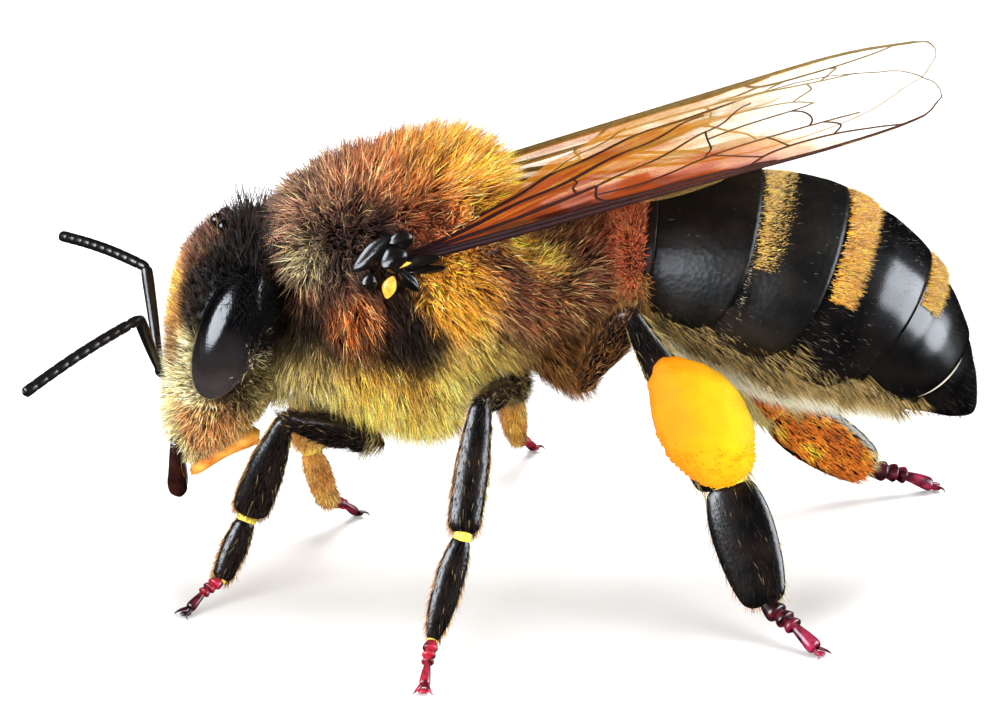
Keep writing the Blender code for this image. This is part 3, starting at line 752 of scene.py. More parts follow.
def ring_point(s, angle, out):
    """The place this far over the abdomen's surface, at an angle from the top of its ring."""
    origin, along = axis_at(s)
    across = along.cross(UP).normalized()
    up = across.cross(along)
    way = up * math.cos(angle) + across * math.sin(angle)
    hit, normal, _, _ = form_surface.ray_cast(origin, way)
    if hit is None:
        return origin + way * out, way
    return hit + way * out, normal


# The first plates carry a fine down that dulls them to satin, and the rear ones are bare and glossy.
satin_black, tree, shader = finish_of(
    "satin_black_chitin", {"Roughness": 0.42, "IOR": 1.56, "Specular IOR Level": 0.25}
)
place, _ = clouded(tree, shader, 0.6, 4, [(0.40, linear("050505")), (0.80, linear("1A1612"))])
pits = add(tree, "TexVoronoi", {"Vector": place, "Scale": PUNCTURE})
relief = {"Height": pits.outputs["Distance"], "Strength": 0.5, "Distance": 0.01 * MM}
add(tree, "Bump", relief, feeds=shader.inputs["Normal"])
PLATE_FINISHES = [satin_black, satin_black, satin_black, shell_black, shell_black, shell_black]
# Each plate: how far round from the top it reaches, in degrees.
BACK_REACH = [108, 109, 113, 115, 114, 110]
# Where the first plate starts and where each one ends along the abdomen, in ring lengths.
PLATE_ENDS = [0, 1.0, 2.0, 2.80, 3.78, 4.75, 6.0]
PLATE_WALL = ("SOLIDIFY", {"thickness": 0.025 * MM, "offset": -1})
OVERLAP = 0.20  # how much of each plate, in ring lengths, lies under the one before it
TUCK = -0.050  # the height of a plate's front edge over the solids' surface
PROUD = 0.016  # and of its rear edge


def rear_edge(number, share_round):
    """Where a back plate ends along the abdomen: its rear corners are cut back."""
    return PLATE_ENDS[number + 1] - 0.45 * abs(share_round) ** 7


for number, reach in enumerate(BACK_REACH):

    def on_back(u, v, number=number, reach=reach):
        share = (u + 1) / 2
        front = PLATE_ENDS[number] - (OVERLAP if number else -0.02)
        s = front + (rear_edge(number, v) - front) * share
        out = TUCK + (PROUD - TUCK) * min(share * 1.6, 1)
        return ring_point(min(max(s, 0.02), 5.97), math.radians(v * reach), out)[0]

    bm = bmesh.new()
    patch(bm, 26, 72, on_back)
    bmesh.ops.recalc_face_normals(bm, faces=bm.faces)
    finish(bm, f"back_plate_{number + 1}", PLATE_FINISHES[number], modifiers=[PLATE_WALL])

# A pale line lies along the fifth plate's rear edge, low on each side.
pale_edge, _, _ = finish_of("pale_rear_line", {"Base Color": linear("B4AE9C"), "Roughness": 0.35})
RIM_MIDDLE = 0.66  # its middle and half length, as shares of how far round the plate reaches
RIM_REACH = 0.26
RIM_WIDTH = 0.035  # its half width, in ring lengths
bm = bmesh.new()
for side in SIDES.values():

    def on_rim(u, v, side=side):
        round_to = RIM_MIDDLE + RIM_REACH * v
        s = rear_edge(4, round_to) + 0.01 + RIM_WIDTH * (1 - v * v) * u
        return ring_point(s, math.radians(side * round_to * BACK_REACH[4]), PROUD + 0.012)[0]

    patch(bm, 3, 40, on_rim)
bmesh.ops.recalc_face_normals(bm, faces=bm.faces)
finish(bm, "fifth_plate_edge", pale_edge)

# The belly plates run in under the edges of the back plates, by this many degrees of the ring.
BELLY_LAP = 14
for number in range(1, RING_COUNT):
    reach = 180 - BACK_REACH[number] + BELLY_LAP

    def on_belly(u, v, number=number, reach=reach):
        share = (u + 1) / 2
        front, rear = PLATE_ENDS[number] - OVERLAP, PLATE_ENDS[number + 1] - 0.15 * abs(v) ** 8
        s = front + (rear - front) * share
        out = TUCK - 0.05 + (PROUD - TUCK) * min(share * 1.4, 1)
        return ring_point(min(s, 5.95), math.pi + math.radians(v * reach), out)[0]

    bm = bmesh.new()
    patch(bm, 20, 40, on_belly)
    bmesh.ops.recalc_face_normals(bm, faces=bm.faces)
    finish(bm, f"belly_plate_{number + 1}", satin_black, modifiers=[PLATE_WALL])

# ---- Legs ---------------------------------------------------------------------------------------
# Six jointed legs of glossy black chitin: hip, thigh with its small knuckle, shin and long first foot
# joint. Soft yellow skin shows where the shin meets the foot.
# Rows of each part: share of its length, half width seen from the side, half thickness.
LEG_ROWS = {
    "coxa": {
        "fore": [(-0.30, 0.22, 0.22), (0.20, 0.30, 0.27), (0.75, 0.24, 0.22), (1.05, 0.13, 0.12)],
        "mid": [(-0.30, 0.26, 0.26), (0.20, 0.36, 0.32), (0.75, 0.26, 0.24), (1.05, 0.13, 0.12)],
        "hind": [(-0.30, 0.30, 0.28), (0.20, 0.40, 0.36), (0.75, 0.30, 0.27), (1.05, 0.14, 0.13)],
    },
    "femur": {
        "fore": [(-0.06, 0.14, 0.12), (0.03, 0.26, 0.20), (0.12, 0.25, 0.19), (0.17, 0.20, 0.16),
                 (0.24, 0.25, 0.19), (0.45, 0.26, 0.20), (0.80, 0.18, 0.15), (1.00, 0.13, 0.12),
                 (1.05, 0.05, 0.05)],
        "mid": [(-0.06, 0.10, 0.10), (0.03, 0.18, 0.17), (0.12, 0.17, 0.15), (0.17, 0.13, 0.12),
                (0.24, 0.19, 0.16), (0.55, 0.25, 0.19), (0.88, 0.19, 0.15), (1.00, 0.14, 0.12),
                (1.05, 0.05, 0.05)],
        "hind": [(-0.06, 0.10, 0.10), (0.03, 0.20, 0.18), (0.12, 0.18, 0.16), (0.17, 0.14, 0.13),
                 (0.24, 0.20, 0.17), (0.60, 0.29, 0.20), (0.90, 0.22, 0.16), (1.00, 0.15, 0.13),
                 (1.05, 0.05, 0.05)],
    },
    "tibia": {
        "fore": [(-0.05, 0.05, 0.05), (0.01, 0.13, 0.12), (0.10, 0.17, 0.14), (0.40, 0.27, 0.19),
                 (0.75, 0.30, 0.20), (0.92, 0.27, 0.17), (0.97, 0.15, 0.10)],
        "mid": [(-0.05, 0.05, 0.05), (0.01, 0.14, 0.12), (0.10, 0.19, 0.14), (0.45, 0.26, 0.18),
                (0.80, 0.26, 0.18), (0.93, 0.24, 0.16), (0.98, 0.14, 0.10)],
        "hind": [(-0.04, 0.05, 0.05), (0.01, 0.15, 0.12), (0.12, 0.20, 0.14), (0.45, 0.34, 0.16),
                 (0.80, 0.46, 0.17), (0.95, 0.46, 0.16), (0.99, 0.30, 0.11)],
    },
    "basitarsus": {
        "fore": [(0.02, 0.07, 0.07), (0.08, 0.15, 0.12), (0.40, 0.20, 0.14), (0.85, 0.17, 0.13),
                 (0.96, 0.14, 0.10), (1.00, 0.05, 0.05)],
        "mid": [(0.02, 0.07, 0.07), (0.07, 0.15, 0.11), (0.35, 0.22, 0.14), (0.70, 0.20, 0.13),
                (0.94, 0.12, 0.09), (1.00, 0.05, 0.05)],
        "hind": [(0.00, 0.18, 0.08), (0.05, 0.38, 0.13), (0.30, 0.49, 0.16), (0.65, 0.47, 0.16),
                 (0.93, 0.35, 0.13), (1.00, 0.18, 0.08)],
    },
}
leg_black, tree, shader = finish_of(
    "glossy_leg_chitin", {"Roughness": 0.27, "IOR": 1.56, "Specular IOR Level": 0.40}
)
place, _ = clouded(tree, shader, 0.4, 4, [(0.40, linear("050404")), (0.78, linear("1A120F"))])
pits = add(tree, "TexVoronoi", {"Vector": place, "Scale": 1 / (0.06 * MM)})  # one pit for each hair
relief = {"Height": pits.outputs["Distance"], "Strength": 0.22, "Distance": 0.01 * MM}
add(tree, "Bump", relief, feeds=shader.inputs["Normal"])

# The small foot joints are wine red chitin with darker clouds.
foot_red, tree, shader = finish_of("dark_red_chitin", {"Roughness": 0.3, "IOR": 1.55})
shades = [(0.40, (0.08, 0.08, 0.08, 1)), (0.62, (1.0, 1.0, 1.0, 1))]
_, clouds = clouded(tree, shader, 0.18, 3, shades, tinted=True)
relief = {"Height": clouds, "Strength": 0.3, "Distance": 0.015 * MM}
add(tree, "Bump", relief, feeds=shader.inputs["Normal"])

# The skin at the foot's joints is soft and matt, in fine folds.
joint_yellow, tree, shader = finish_of("soft_yellow_joint_skin", {"Roughness": 0.5, "IOR": 1.45})
_, folds = clouded(tree, shader, 0.06, 3, [(0.30, linear("B98A1C")), (0.65, linear("F2DE4E"))])
relief = {"Height": folds, "Strength": 0.4, "Distance": 0.015 * MM}
add(tree, "Bump", relief, feeds=shader.inputs["Normal"])

LEG_PARTS = ("coxa", "femur", "tibia", "basitarsus", "tarsus")
LIMB_STEP = 0.06  # how far apart a limb's rings lie
TOE_HEIGHT = 0.10  # how far over its sole the last joint ends
FOOT_ARCH = 0.05  # how far the foot's middle bends up
# Each of the two claws: how far it reaches ahead, out and down, and how thick its root is.
CLAW_REACH = 0.17
CLAW_SPREAD = 0.11
CLAW_DROP = 0.085
CLAW_RADIUS = 0.034
CLAW_STEPS = 8
FOOT_PAD = (0.09, 0.07, 0.035)  # the soft pad between the claws
ANKLE_RADIUS = 0.085
# The foot's four small joints: start and end as shares of its length, half width at each.
TOE_JOINTS = [(-0.04, 0.25, 0.060, 0.120), (0.21, 0.42, 0.055, 0.110), (0.38, 0.57, 0.050, 0.100),
              (0.53, 0.98, 0.045, 0.085)]
# Each pair's foot: how much stouter than those joints it is, and its colours at ankle and claws.
FEET = {
    "fore": (1.0, "A81C34", "3E0C18"),
    "mid": (0.95, "B01A32", "9A1830"),
    "hind": (1.55, "2C100E", "8E1A3C"),
}
legs = {}
leg_shapes = {}


def graded(first, second, share):
    """Colours that run from the first hex colour to the second as the share goes from 0 to 1."""
    share = np.clip(share, 0, 1)[:, None]
    return pigment(first) * (1 - share) + pigment(second) * share


for side_name, side in SIDES.items():
    outward = Vector((0, side, 0))
    for pair in ("fore", "mid", "hind"):
        leg_name = side_name + "_" + pair
        nodes = [leg_name + "_" + part for part in LEG_PARTS]
        joints = [Vector(meeting(a, b).mean(axis=0)) for a, b in zip(nodes, nodes[1:])]
        joints.insert(0, far_end(nodes[0], joints[0], 0.25))
        soles = corners(nodes[-1])
        toe = Vector(soles[soles[:, 2] < 0.02].mean(axis=0))
        joints.append(toe + Vector((0, 0, TOE_HEIGHT)))
        legs[leg_name] = joints
        bm = bmesh.new()
        for start, end, part in zip(joints, joints[1:], LEG_PARTS[:-1]):
            steps = max(int((end - start).length / LIMB_STEP), 10)
            limb(bm, start, end, LEG_ROWS[part][pair], outward, Vector(), steps, sides=20)
        leg_shapes[leg_name] = bm.copy()
        finish(bm, leg_name + "_leg", leg_black, nodes[:-1])

        bm = bmesh.new()
        ankle, toe_end = joints[4], joints[5]
        along = toe_end - ankle
        stout, ankle_colour, claw_colour = FEET[pair]
        for start, end, narrow, wide in TOE_JOINTS:
            narrow, wide = narrow * stout, wide * stout
            rows = [(start, narrow * 0.6, narrow * 0.6), (start + 0.03, narrow, narrow)]
            rows.append((start + (end - start) * 0.75, wide, wide * 0.85))
            rows.append((end - 0.01, wide * 0.95, wide * 0.8))
            rows.append((end + 0.01, wide * 0.5, wide * 0.4))
            limb(bm, ankle, toe_end, rows, UP, Vector((0, 0, FOOT_ARCH)), steps=10, sides=14)
        level = Vector((along.x, along.y, 0)).normalized()
        sideways = level.cross(UP)
        for hand in (-1, 1):
            rings = []
            for step in range(CLAW_STEPS + 1):
                t = step / CLAW_STEPS
                way = level * math.sin(1.9 * t) * CLAW_REACH + sideways * hand * (0.05 + CLAW_SPREAD * t)
                drop = Vector((0, 0, -CLAW_DROP * t**1.6))
                ahead = level * math.cos(1.9 * t) + sideways * hand * 0.5 - UP * 0.7 * t
                size = CLAW_RADIUS * (1 - 0.85 * t)
                rings.append((facing(toe_end + way + drop, ahead, UP), size, size))
            loft(bm, rings, 8)
        made = bmesh.ops.create_uvsphere(bm, u_segments=14, v_segments=8, radius=1)["verts"]
        bmesh.ops.scale(bm, vec=FOOT_PAD, verts=made)
        bmesh.ops.translate(bm, vec=toe_end + level * 0.07 - UP * 0.055, verts=made)
        reach = (np.array([v.co for v in bm.verts]) - np.array(ankle)) @ np.array(along)
        foot = finish(bm, leg_name + "_foot", foot_red, [nodes[-1]])
        paint(foot, graded(ankle_colour, claw_colour, reach / along.length_squared))

        bm = bmesh.new()
        made = bmesh.ops.create_uvsphere(bm, u_segments=20, v_segments=12, radius=1)["verts"]
        wide = LEG_ROWS["tibia"][pair][-1][1]
        bmesh.ops.scale(bm, vec=(wide * 1.05, 0.12, 0.14), verts=made)
        place_at = facing(joints[3], joints[4] - joints[2], outward)
        bmesh.ops.transform(bm, matrix=place_at, verts=made)
        made = bmesh.ops.create_uvsphere(bm, u_segments=16, v_segments=10, radius=ANKLE_RADIUS)["verts"]
        bmesh.ops.translate(bm, vec=joints[4], verts=made)
        finish(bm, leg_name + "_joint_skin", joint_yellow)

# ---- Pollen loads -------------------------------------------------------------------------------
# A packed lump of orange and yellow pollen, moist with nectar, is pressed on the outer face of each
# hind shin. Its surface is fine grains, crumbling at the lower rim.
pollen_orange, tree, shader = finish_of(
    "packed_pollen", {"Roughness": 0.7, "IOR": 1.45, "Specular IOR Level": 0.12}
)
shades = [(0.30, (0.94, 0.84, 0.70, 1)), (0.62, (1.0, 1.0, 1.0, 1))]
place, _ = clouded(tree, shader, 0.36, 4, shades, tinted=True)
GRAIN = 1 / (0.06 * MM)  # real grains are 0.03 mm across: drawn coarser, to show
grains = add(tree, "TexVoronoi", {"Vector": place, "Scale": GRAIN})
relief = {"Height": grains.outputs["Distance"], "Strength": 0.5, "Distance": -0.02 * MM}
add(tree, "Bump", relief, feeds=shader.inputs["Normal"])
LUMP = 0.018  # how high the waves in its surface are
CORNER = 0.26  # the load is squarer at its upper front
LOOSE_GRAINS = 900
rng = np.random.default_rng(7)
for name in SIDES:
    low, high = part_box(name + "_pollen")
    low, high = low / MM, high / MM
    bm = remeshed(node_bmesh(name + "_pollen"), 0.05, 10)
    bm.normal_update()
    offsets = []
    for vertex in bm.verts:
        p = vertex.co
        wave = math.sin(7.1 * p.x + 1.3) * math.sin(6.3 * p.z + 0.6) + 0.6 * math.sin(11 * p.y + 9 * p.z)
        n = vertex.normal
        corner = max(-n.x, 0) * max(n.z, 0)
        offsets.append(n * (LUMP * wave - 0.02) + Vector((-0.9, 0, 1)) * CORNER * corner)
    for vertex, offset in zip(bm.verts, offsets):
        vertex.co += offset
    hosts = [(v.co.copy(), v.normal.copy()) for v in bm.verts]
    for pick in rng.choice(len(hosts), LOOSE_GRAINS, replace=False):
        p, normal = hosts[pick]
        if (p.z - low.z) / (high.z - low.z) > 0.35 + 0.15 * rng.random():
            continue
        radius = 0.018 + 0.018 * rng.random()
        made = bmesh.ops.create_icosphere(bm, subdivisions=1, radius=radius)["verts"]
        bmesh.ops.translate(bm, vec=p + normal * radius * 0.1, verts=made)
    places = np.array([v.co for v in bm.verts])
    load = finish(bm, name + "_pollen_load", pollen_orange, [name + "_pollen"])
    across = (places[:, 0] - low.x) / (high.x - low.x) + 0.25 * (places[:, 2] - low.z) / (high.z - low.z)
    paint(load, graded("CC7A02", "CCA604", (across - 0.45) / 0.60))

# ---- Wings --------------------------------------------------------------------------------------
# Each wing is a double film of clear chitin, thinner than paper, stretched on hollow brown veins. It
# is stained amber at the root. The hind wing is hooked under the rear edge of the forewing.
film, tree, shader = finish_of("clear_wing_film", {"Roughness": 0.30, "IOR": 1.4})
place = add(tree, "TexCoord").outputs["Object"]
crinkle = add(tree, "TexNoise", {"Vector": place, "Scale": 1 / (0.5 * MM), "Detail": 4}).outputs["Fac"]
amber = add(tree, "Attribute", attribute_name="amber").outputs["Fac"]
stain = add(tree, "Math", {0: amber, 1: 0.7}, operation="MULTIPLY").outputs[0]
cloud = add(tree, "Math", {0: crinkle, 1: 0.35, 2: stain}, operation="MULTIPLY_ADD").outputs[0]
codes = [(0.15, "B8A870"), (0.38, "BA8024"), (0.60, "964016"), (0.88, "300E0A")]
shades = [(at, linear(code)) for at, code in codes]
add(tree, "ValToRGB", {"Fac": cloud}, shades, feeds=shader.inputs["Base Color"])
cover = [(0.15, (0.05, 0.05, 0.05, 1)), (0.42, (0.48, 0.48, 0.48, 1)), (0.80, (0.88, 0.88, 0.88, 1))]
add(tree, "ValToRGB", {"Fac": cloud}, cover, feeds=shader.inputs["Alpha"])
relief = {"Height": crinkle, "Strength": 0.5, "Distance": 0.06 * MM}
add(tree, "Bump", relief, feeds=shader.inputs["Normal"])

# The veins are brown chitin tubes with faint rings, duller than the plates.
vein_brown, tree, shader = finish_of(
    "brown_vein_chitin", {"Roughness": 0.5, "IOR": 1.45, "Specular IOR Level": 0.2}
)
clouded(tree, shader, 0.12, 2, [(0.30, (0.65, 0.60, 0.55, 1)), (0.65, (1.0, 1.0, 1.0, 1))], tinted=True)
# Veins: how thick at the start and the end, then points as shares of the wing's length and, from the
# leading edge, of its width there.
FORE_VEINS = [
    (0.075, 0.026, [(-0.03, 0.15), (0.15, 0.02), (0.40, 0.01), (0.62, 0.01), (0.80, 0.01), (0.96, 0.05)]),
    (0.075, 0.045, [(-0.03, 0.40), (0.07, 0.20), (0.20, 0.09), (0.40, 0.065), (0.56, 0.06), (0.63, 0.02)]),
    (0.050, 0.045, [(0.60, 0.035), (0.64, 0.045), (0.68, 0.02)]),
    (0.030, 0.022, [(0.375, 0.065), (0.352, 0.14), (0.336, 0.25), (0.34, 0.37)]),
    (0.075, 0.032, [(-0.03, 0.60), (0.10, 0.44), (0.24, 0.385), (0.34, 0.37)]),
    (0.025, 0.014, [(0.338, 0.27), (0.43, 0.215), (0.55, 0.26), (0.66, 0.30), (0.76, 0.345), (0.84, 0.38)]),
    (0.025, 0.016, [(0.625, 0.04), (0.655, 0.13), (0.71, 0.165), (0.80, 0.165), (0.88, 0.11), (0.93, 0.03)]),
    (0.020, 0.018, [(0.655, 0.13), (0.61, 0.19), (0.56, 0.265)]),
    (0.018, 0.016, [(0.705, 0.165), (0.685, 0.23), (0.665, 0.30)]),
    (0.018, 0.015, [(0.79, 0.167), (0.805, 0.23), (0.79, 0.30), (0.77, 0.35)]),
    (0.028, 0.015, [(0.34, 0.37), (0.42, 0.44), (0.50, 0.52), (0.55, 0.60), (0.60, 0.75), (0.63, 0.88)]),
    (0.020, 0.018, [(0.545, 0.255), (0.558, 0.36), (0.552, 0.48), (0.548, 0.595)]),
    (0.018, 0.013, [(0.553, 0.49), (0.64, 0.52), (0.71, 0.56), (0.75, 0.63)]),
    (0.018, 0.015, [(0.745, 0.34), (0.75, 0.42), (0.735, 0.50), (0.71, 0.56)]),
    (0.065, 0.020, [(-0.03, 0.85), (0.10, 0.76), (0.25, 0.70), (0.36, 0.72), (0.46, 0.80), (0.54, 0.93)]),
    (0.022, 0.018, [(0.30, 0.375), (0.293, 0.50), (0.30, 0.60), (0.292, 0.70)]),
    (0.050, 0.016, [(0.02, 0.97), (0.30, 0.985), (0.50, 0.985), (0.60, 0.985)]),
    (0.010, 0.009, [(0.60, 0.985), (0.75, 0.985), (0.90, 0.985), (0.975, 0.985), (0.992, 0.90)]),
    (0.020, 0.009, [(0.96, 0.05), (0.98, 0.15), (0.992, 0.50), (0.992, 0.90)]),
]
HIND_VEINS = [
    (0.040, 0.018, [(0.00, 0.20), (0.15, 0.06), (0.40, 0.03), (0.60, 0.04), (0.80, 0.06)]),
    (0.030, 0.012, [(0.00, 0.50), (0.20, 0.36), (0.42, 0.38), (0.62, 0.50), (0.80, 0.62)]),
    (0.020, 0.014, [(0.40, 0.03), (0.42, 0.18), (0.44, 0.39)]),
    (0.020, 0.012, [(0.00, 0.75), (0.20, 0.66), (0.40, 0.72), (0.56, 0.86)]),
    (0.016, 0.012, [(0.60, 0.04), (0.70, 0.20), (0.82, 0.34)]),
]
FILM_WALL = ("SOLIDIFY", {"thickness": 0.014 * MM, "offset": 0})
ROOT_REACH = -0.30  # how far the wing's root runs in under its scale
HIND_DROP = -0.07  # how far the hind wing lies under the forewing
POINT_STEPS = 5  # rings of a vein from one of its points to the next
VEIN_SIDES = 6


def wing_table(places, origin, x_axis, y_axis):
    """Rows of a wing plate's outline: distance from the root, leading edge, trailing edge."""
    x = np.round((places - origin) @ x_axis, 2)
    y = (places - origin) @ y_axis
    root, tip = y[x < x.min() + 0.05].mean(), y[x > x.max() - 0.05].mean()
    leading = y <= np.interp(x, [x.min(), x.max()], [root, tip]) + 0.001
    edges = []
    for side_of in (leading, ~leading):
        ends = side_of | (x > x.max() - 0.05)
        order = np.argsort(x[ends])
        edges.append((x[ends][order], y[ends][order]))
    rows = []
    for distance in np.unique(np.round(x[~leading], 1)):
        here = [np.interp(distance, edge_x, edge_y) for edge_x, edge_y in edges]
        rows.append((float(distance), float(here[0]), float(here[1])))
    return rows


def wing_piece(name, rows, place_at, nodes, length, stain):
    """The film between the leading and trailing edges of smoothed rows, stained amber at its root."""
    amber_at = []

    def on_wing(u, v):
        distance, lead, trail = between(rows, (u + 1) / 2)
        across = (v + 1) / 2
        root_share = 1 - distance / length
        amber_here = 0.68 * min(max(1.9 * root_share - 0.45 - 0.10 * across, 0), 1)
        cell = max(1 - across / 0.40, 0) * min(max((root_share - 0.15) / 0.20, 0), 1)
        streaks = 0.34 * math.sin(46 * across + 2.2 * distance) * math.sin(17 * across - 1.6 * distance + 1)
        amber_at.append(stain * min(max(amber_here * (1 + streaks) + 0.60 * cell, 0), 1))
        return place_at(distance, lead + (trail - lead) * across)

    bm = bmesh.new()
    patch(bm, 90, 70, on_wing)
    piece = finish(bm, name + "_film", film, nodes, [FILM_WALL])
    layer = piece.data.attributes.new("amber", "FLOAT", "POINT")
    layer.data.foreach_set("value", np.array(amber_at, np.float32))


def vein_piece(name, veins, rows, place_at, normal, far_wing):
    """All the veins of a wing as fine tubes on its film."""
    length = rows[-1][0]
    table = np.array(rows)
    bm = bmesh.new()
    shares = []
    for start, end, points in veins:
        steps = (len(points) - 1) * POINT_STEPS
        path = []
        for step in range(steps + 1):
            share, width_share = between(points, step / steps)
            distance = share * length
            lead = np.interp(distance, table[:, 0], table[:, 1])
            trail = np.interp(distance, table[:, 0], table[:, 2])
            path.append((place_at(distance, lead + (trail - lead) * width_share), share))
        rings = []
        for step, (centre, share) in enumerate(path):
            ahead = path[min(step + 1, steps)][0] - path[max(step - 1, 0)][0]
            size = start + (end - start) * step / steps
            rings.append((facing(centre, ahead, normal), size, size * 0.75))
            shares += [share] * VEIN_SIDES
        loft(bm, rings, VEIN_SIDES)
    piece = finish(bm, name + "_veins", vein_brown)
    root, outer = ("5A4216", "76643A") if far_wing else ("16030A", "3E2014")
    paint(piece, graded(root, outer, np.array(shares)))


for name, side in SIDES.items():
    places = corners(name + "_forewing")
    centre = places.mean(axis=0)
    normal = np.linalg.eigh(np.cov((places - centre).T))[1][:, 0]
    normal *= np.sign(normal[2])
    flat = places - np.outer((places - centre) @ normal, normal)
    hinge = np.array(hinges[name])
    order = np.argsort(np.linalg.norm(flat - hinge, axis=1))
    near = np.unique(np.round(flat[order[:8]], 2), axis=0)
    near = near[np.argsort(np.linalg.norm(near - hinge, axis=1))]
    lead_corner = near[0]
    trail_corner = next(p for p in near if np.linalg.norm(p - lead_corner) > 0.2)
    if abs(lead_corner[1] - MIDDLE) < abs(trail_corner[1] - MIDDLE):
        lead_corner, trail_corner = trail_corner, lead_corner
    y_axis = (trail_corner - lead_corner) / np.linalg.norm(trail_corner - lead_corner)
    x_axis = np.cross(y_axis, normal)
    x_axis *= np.sign(x_axis @ (centre - lead_corner))
    rows = wing_table(flat, lead_corner, x_axis, y_axis)
    length = rows[-1][0]
    root_row = (ROOT_REACH, rows[0][1] + 0.10, rows[0][2] - 0.04)

    def place_at(x, y, lift=0, origin=lead_corner, axes=(x_axis, y_axis, normal), length=length):
        """The place on the gently arched and pleated wing, or this far over it."""
        share = min(max(x / length, 0), 1)
        arch = 0.13 * math.sin(math.pi * share) * math.sin(math.pi * min(y / 2.7, 1)) - 0.05 * share
        pleat = 0.022 * math.sin(9 * y + 2 * share) * min(share * 4, 1)
        return Vector(origin + axes[0] * x + axes[1] * y + axes[2] * (arch + pleat + lift))

    fore_rows = [root_row] + rows
    stain = 1.0 if side < 0 else 0.45  # the right wings are paler at the root
    wing_piece(name + "_fore", fore_rows, place_at, [name + "_forewing"], length, stain)
    vein_piece(name + "_fore", FORE_VEINS, fore_rows, place_at, Vector(normal), side > 0)

    # The hind wing: its hidden root, the strip that shows beyond the forewing, and its round tip.
    strip = wing_table(corners(name + "_hindwing"), lead_corner, x_axis, y_axis)
    table = np.array(rows)
    hind_rows = [(0.10, 0.30, 0.46), (0.70, 0.40, 1.05)]
    for distance, _, trail in strip:
        hidden = np.interp(distance, table[:, 0], table[:, 2]) - 0.55
        hind_rows.append((distance, hidden, trail))
    last_x, last_lead, last_trail = hind_rows[-1]
    hind_rows.append((last_x + 0.45, last_lead + 0.18, last_trail - 0.10))
    hind_rows.append((last_x + 0.70, last_lead + 0.42, last_lead + 0.46))

    def under(x, y, place_at=place_at):
        return place_at(x, y, HIND_DROP)

    wing_piece(name + "_hind", hind_rows, under, [name + "_hindwing"], length, 0.6 * stain)
    vein_piece(name + "_hind", HIND_VEINS, hind_rows, under, Vector(normal), side > 0)

# ---- Coat ---------------------------------------------------------------------------------------
# The bee's fur: branched hairs of chitin, long and upright on the thorax, short on the face, and packed
# into flat felt bands on the back plates. Each hair is painted darker at the root, as shade among the
# hairs, and lighter at the tip, as a painted glow where light shines through it.
hair, tree, shader = finish_of("branched_chitin_hair", {"Roughness": 0.55, "Specular IOR Level": 0.25})
clouded(tree, shader, 0.04, 1, [(0.30, (0.72, 0.70, 0.68, 1)), (0.65, (1.0, 1.0, 1.0, 1))], tinted=True)
PATCH = 0.003  # the share of the bake map that one tuft takes
body_low, body_high = skin_places.min(axis=0), skin_places.max(axis=0)
BODY_AXIS_Z = 4.7  # the height of the body's long axis
EYE_MARGIN = 1.02  # how much larger than the eye the coat's edge round it is


def unit(vectors):
    """Each row at length one."""
    return vectors / np.maximum(np.linalg.norm(vectors, axis=1), 1e-9)[:, None]


def body_unwrap(roots):
    """Where each root lies on the skin, slit along its belly and unrolled round its long axis."""
    along = (roots[:, 0] - body_low[0]) / (body_high[0] - body_low[0])
    round_axis = np.arctan2(roots[:, 1] - MIDDLE, roots[:, 2] - BODY_AXIS_Z) / (2 * math.pi) + 0.5
    return np.stack([along, round_axis], axis=1) * (1 - 2 * PATCH)


def strands(name, roots, ways, bends, lengths, radii, base, tip, places, segments):
    """One piece of coat: a closed three-sided hair, tapered to a point, for each root."""
    count = len(roots)
    side = unit(np.cross(ways, rng.normal(size=(count, 3))))
    other = np.cross(ways, side)
    layers, colours, maps = [], [], []
    for row in range(segments + 1):
        t = row / segments
        centre = roots + lengths[:, None] * (t * ways + t * t * bends)
        shade = base * (1 - t) + tip * t
        for k in range(3 if row < segments else 1):
            angle = 2 * math.pi * k / 3
            ring = math.cos(angle) * side + math.sin(angle) * other
            size = radii * (1 - 0.5 * t) * (row < segments)
            layers.append(centre + ring * size[:, None])
            colours.append(shade)
            maps.append(places + PATCH * np.array([k / 2, t]))
    per_hair = len(layers)
    points = np.stack(layers, axis=1).reshape(-1, 3) * MM
    colours = np.stack(colours, axis=1).reshape(-1, 3)
    maps = np.stack(maps, axis=1).reshape(-1, 2)
    faces = [(0, 2, 1)]
    for row in range(segments):
        for k in range(3):
            a, b = 3 * row + k, 3 * row + (k + 1) % 3
            if row == segments - 1:
                faces.append((a, b, 3 * segments))
            else:
                faces += [(a, b, b + 3), (a, b + 3, a + 3)]
    faces = np.array(faces)
    every = (np.arange(count)[:, None, None] * per_hair + faces[None]).reshape(-1)
    mesh = bpy.data.meshes.new(name)
    mesh.vertices.add(len(points))
    mesh.vertices.foreach_set("co", points.astype(np.float32).ravel())
    mesh.loops.add(len(every))
    mesh.loops.foreach_set("vertex_index", every.astype(np.int32))
    mesh.polygons.add(len(every) // 3)
    mesh.polygons.foreach_set("loop_start", np.arange(0, len(every), 3, dtype=np.int32))
    mesh.update(calc_edges=True)
    bake_map = mesh.uv_layers.new(name="OFBake")
    bake_map.data.foreach_set("uv", maps[every].astype(np.float32).ravel())
    mesh.shade_smooth()
    mesh.materials.append(hair)
    piece = bpy.data.objects.new(name, mesh)
    bpy.context.scene.collection.objects.link(piece)
    paint(piece, np.clip(colours, 0, 1))
    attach(piece, "root")


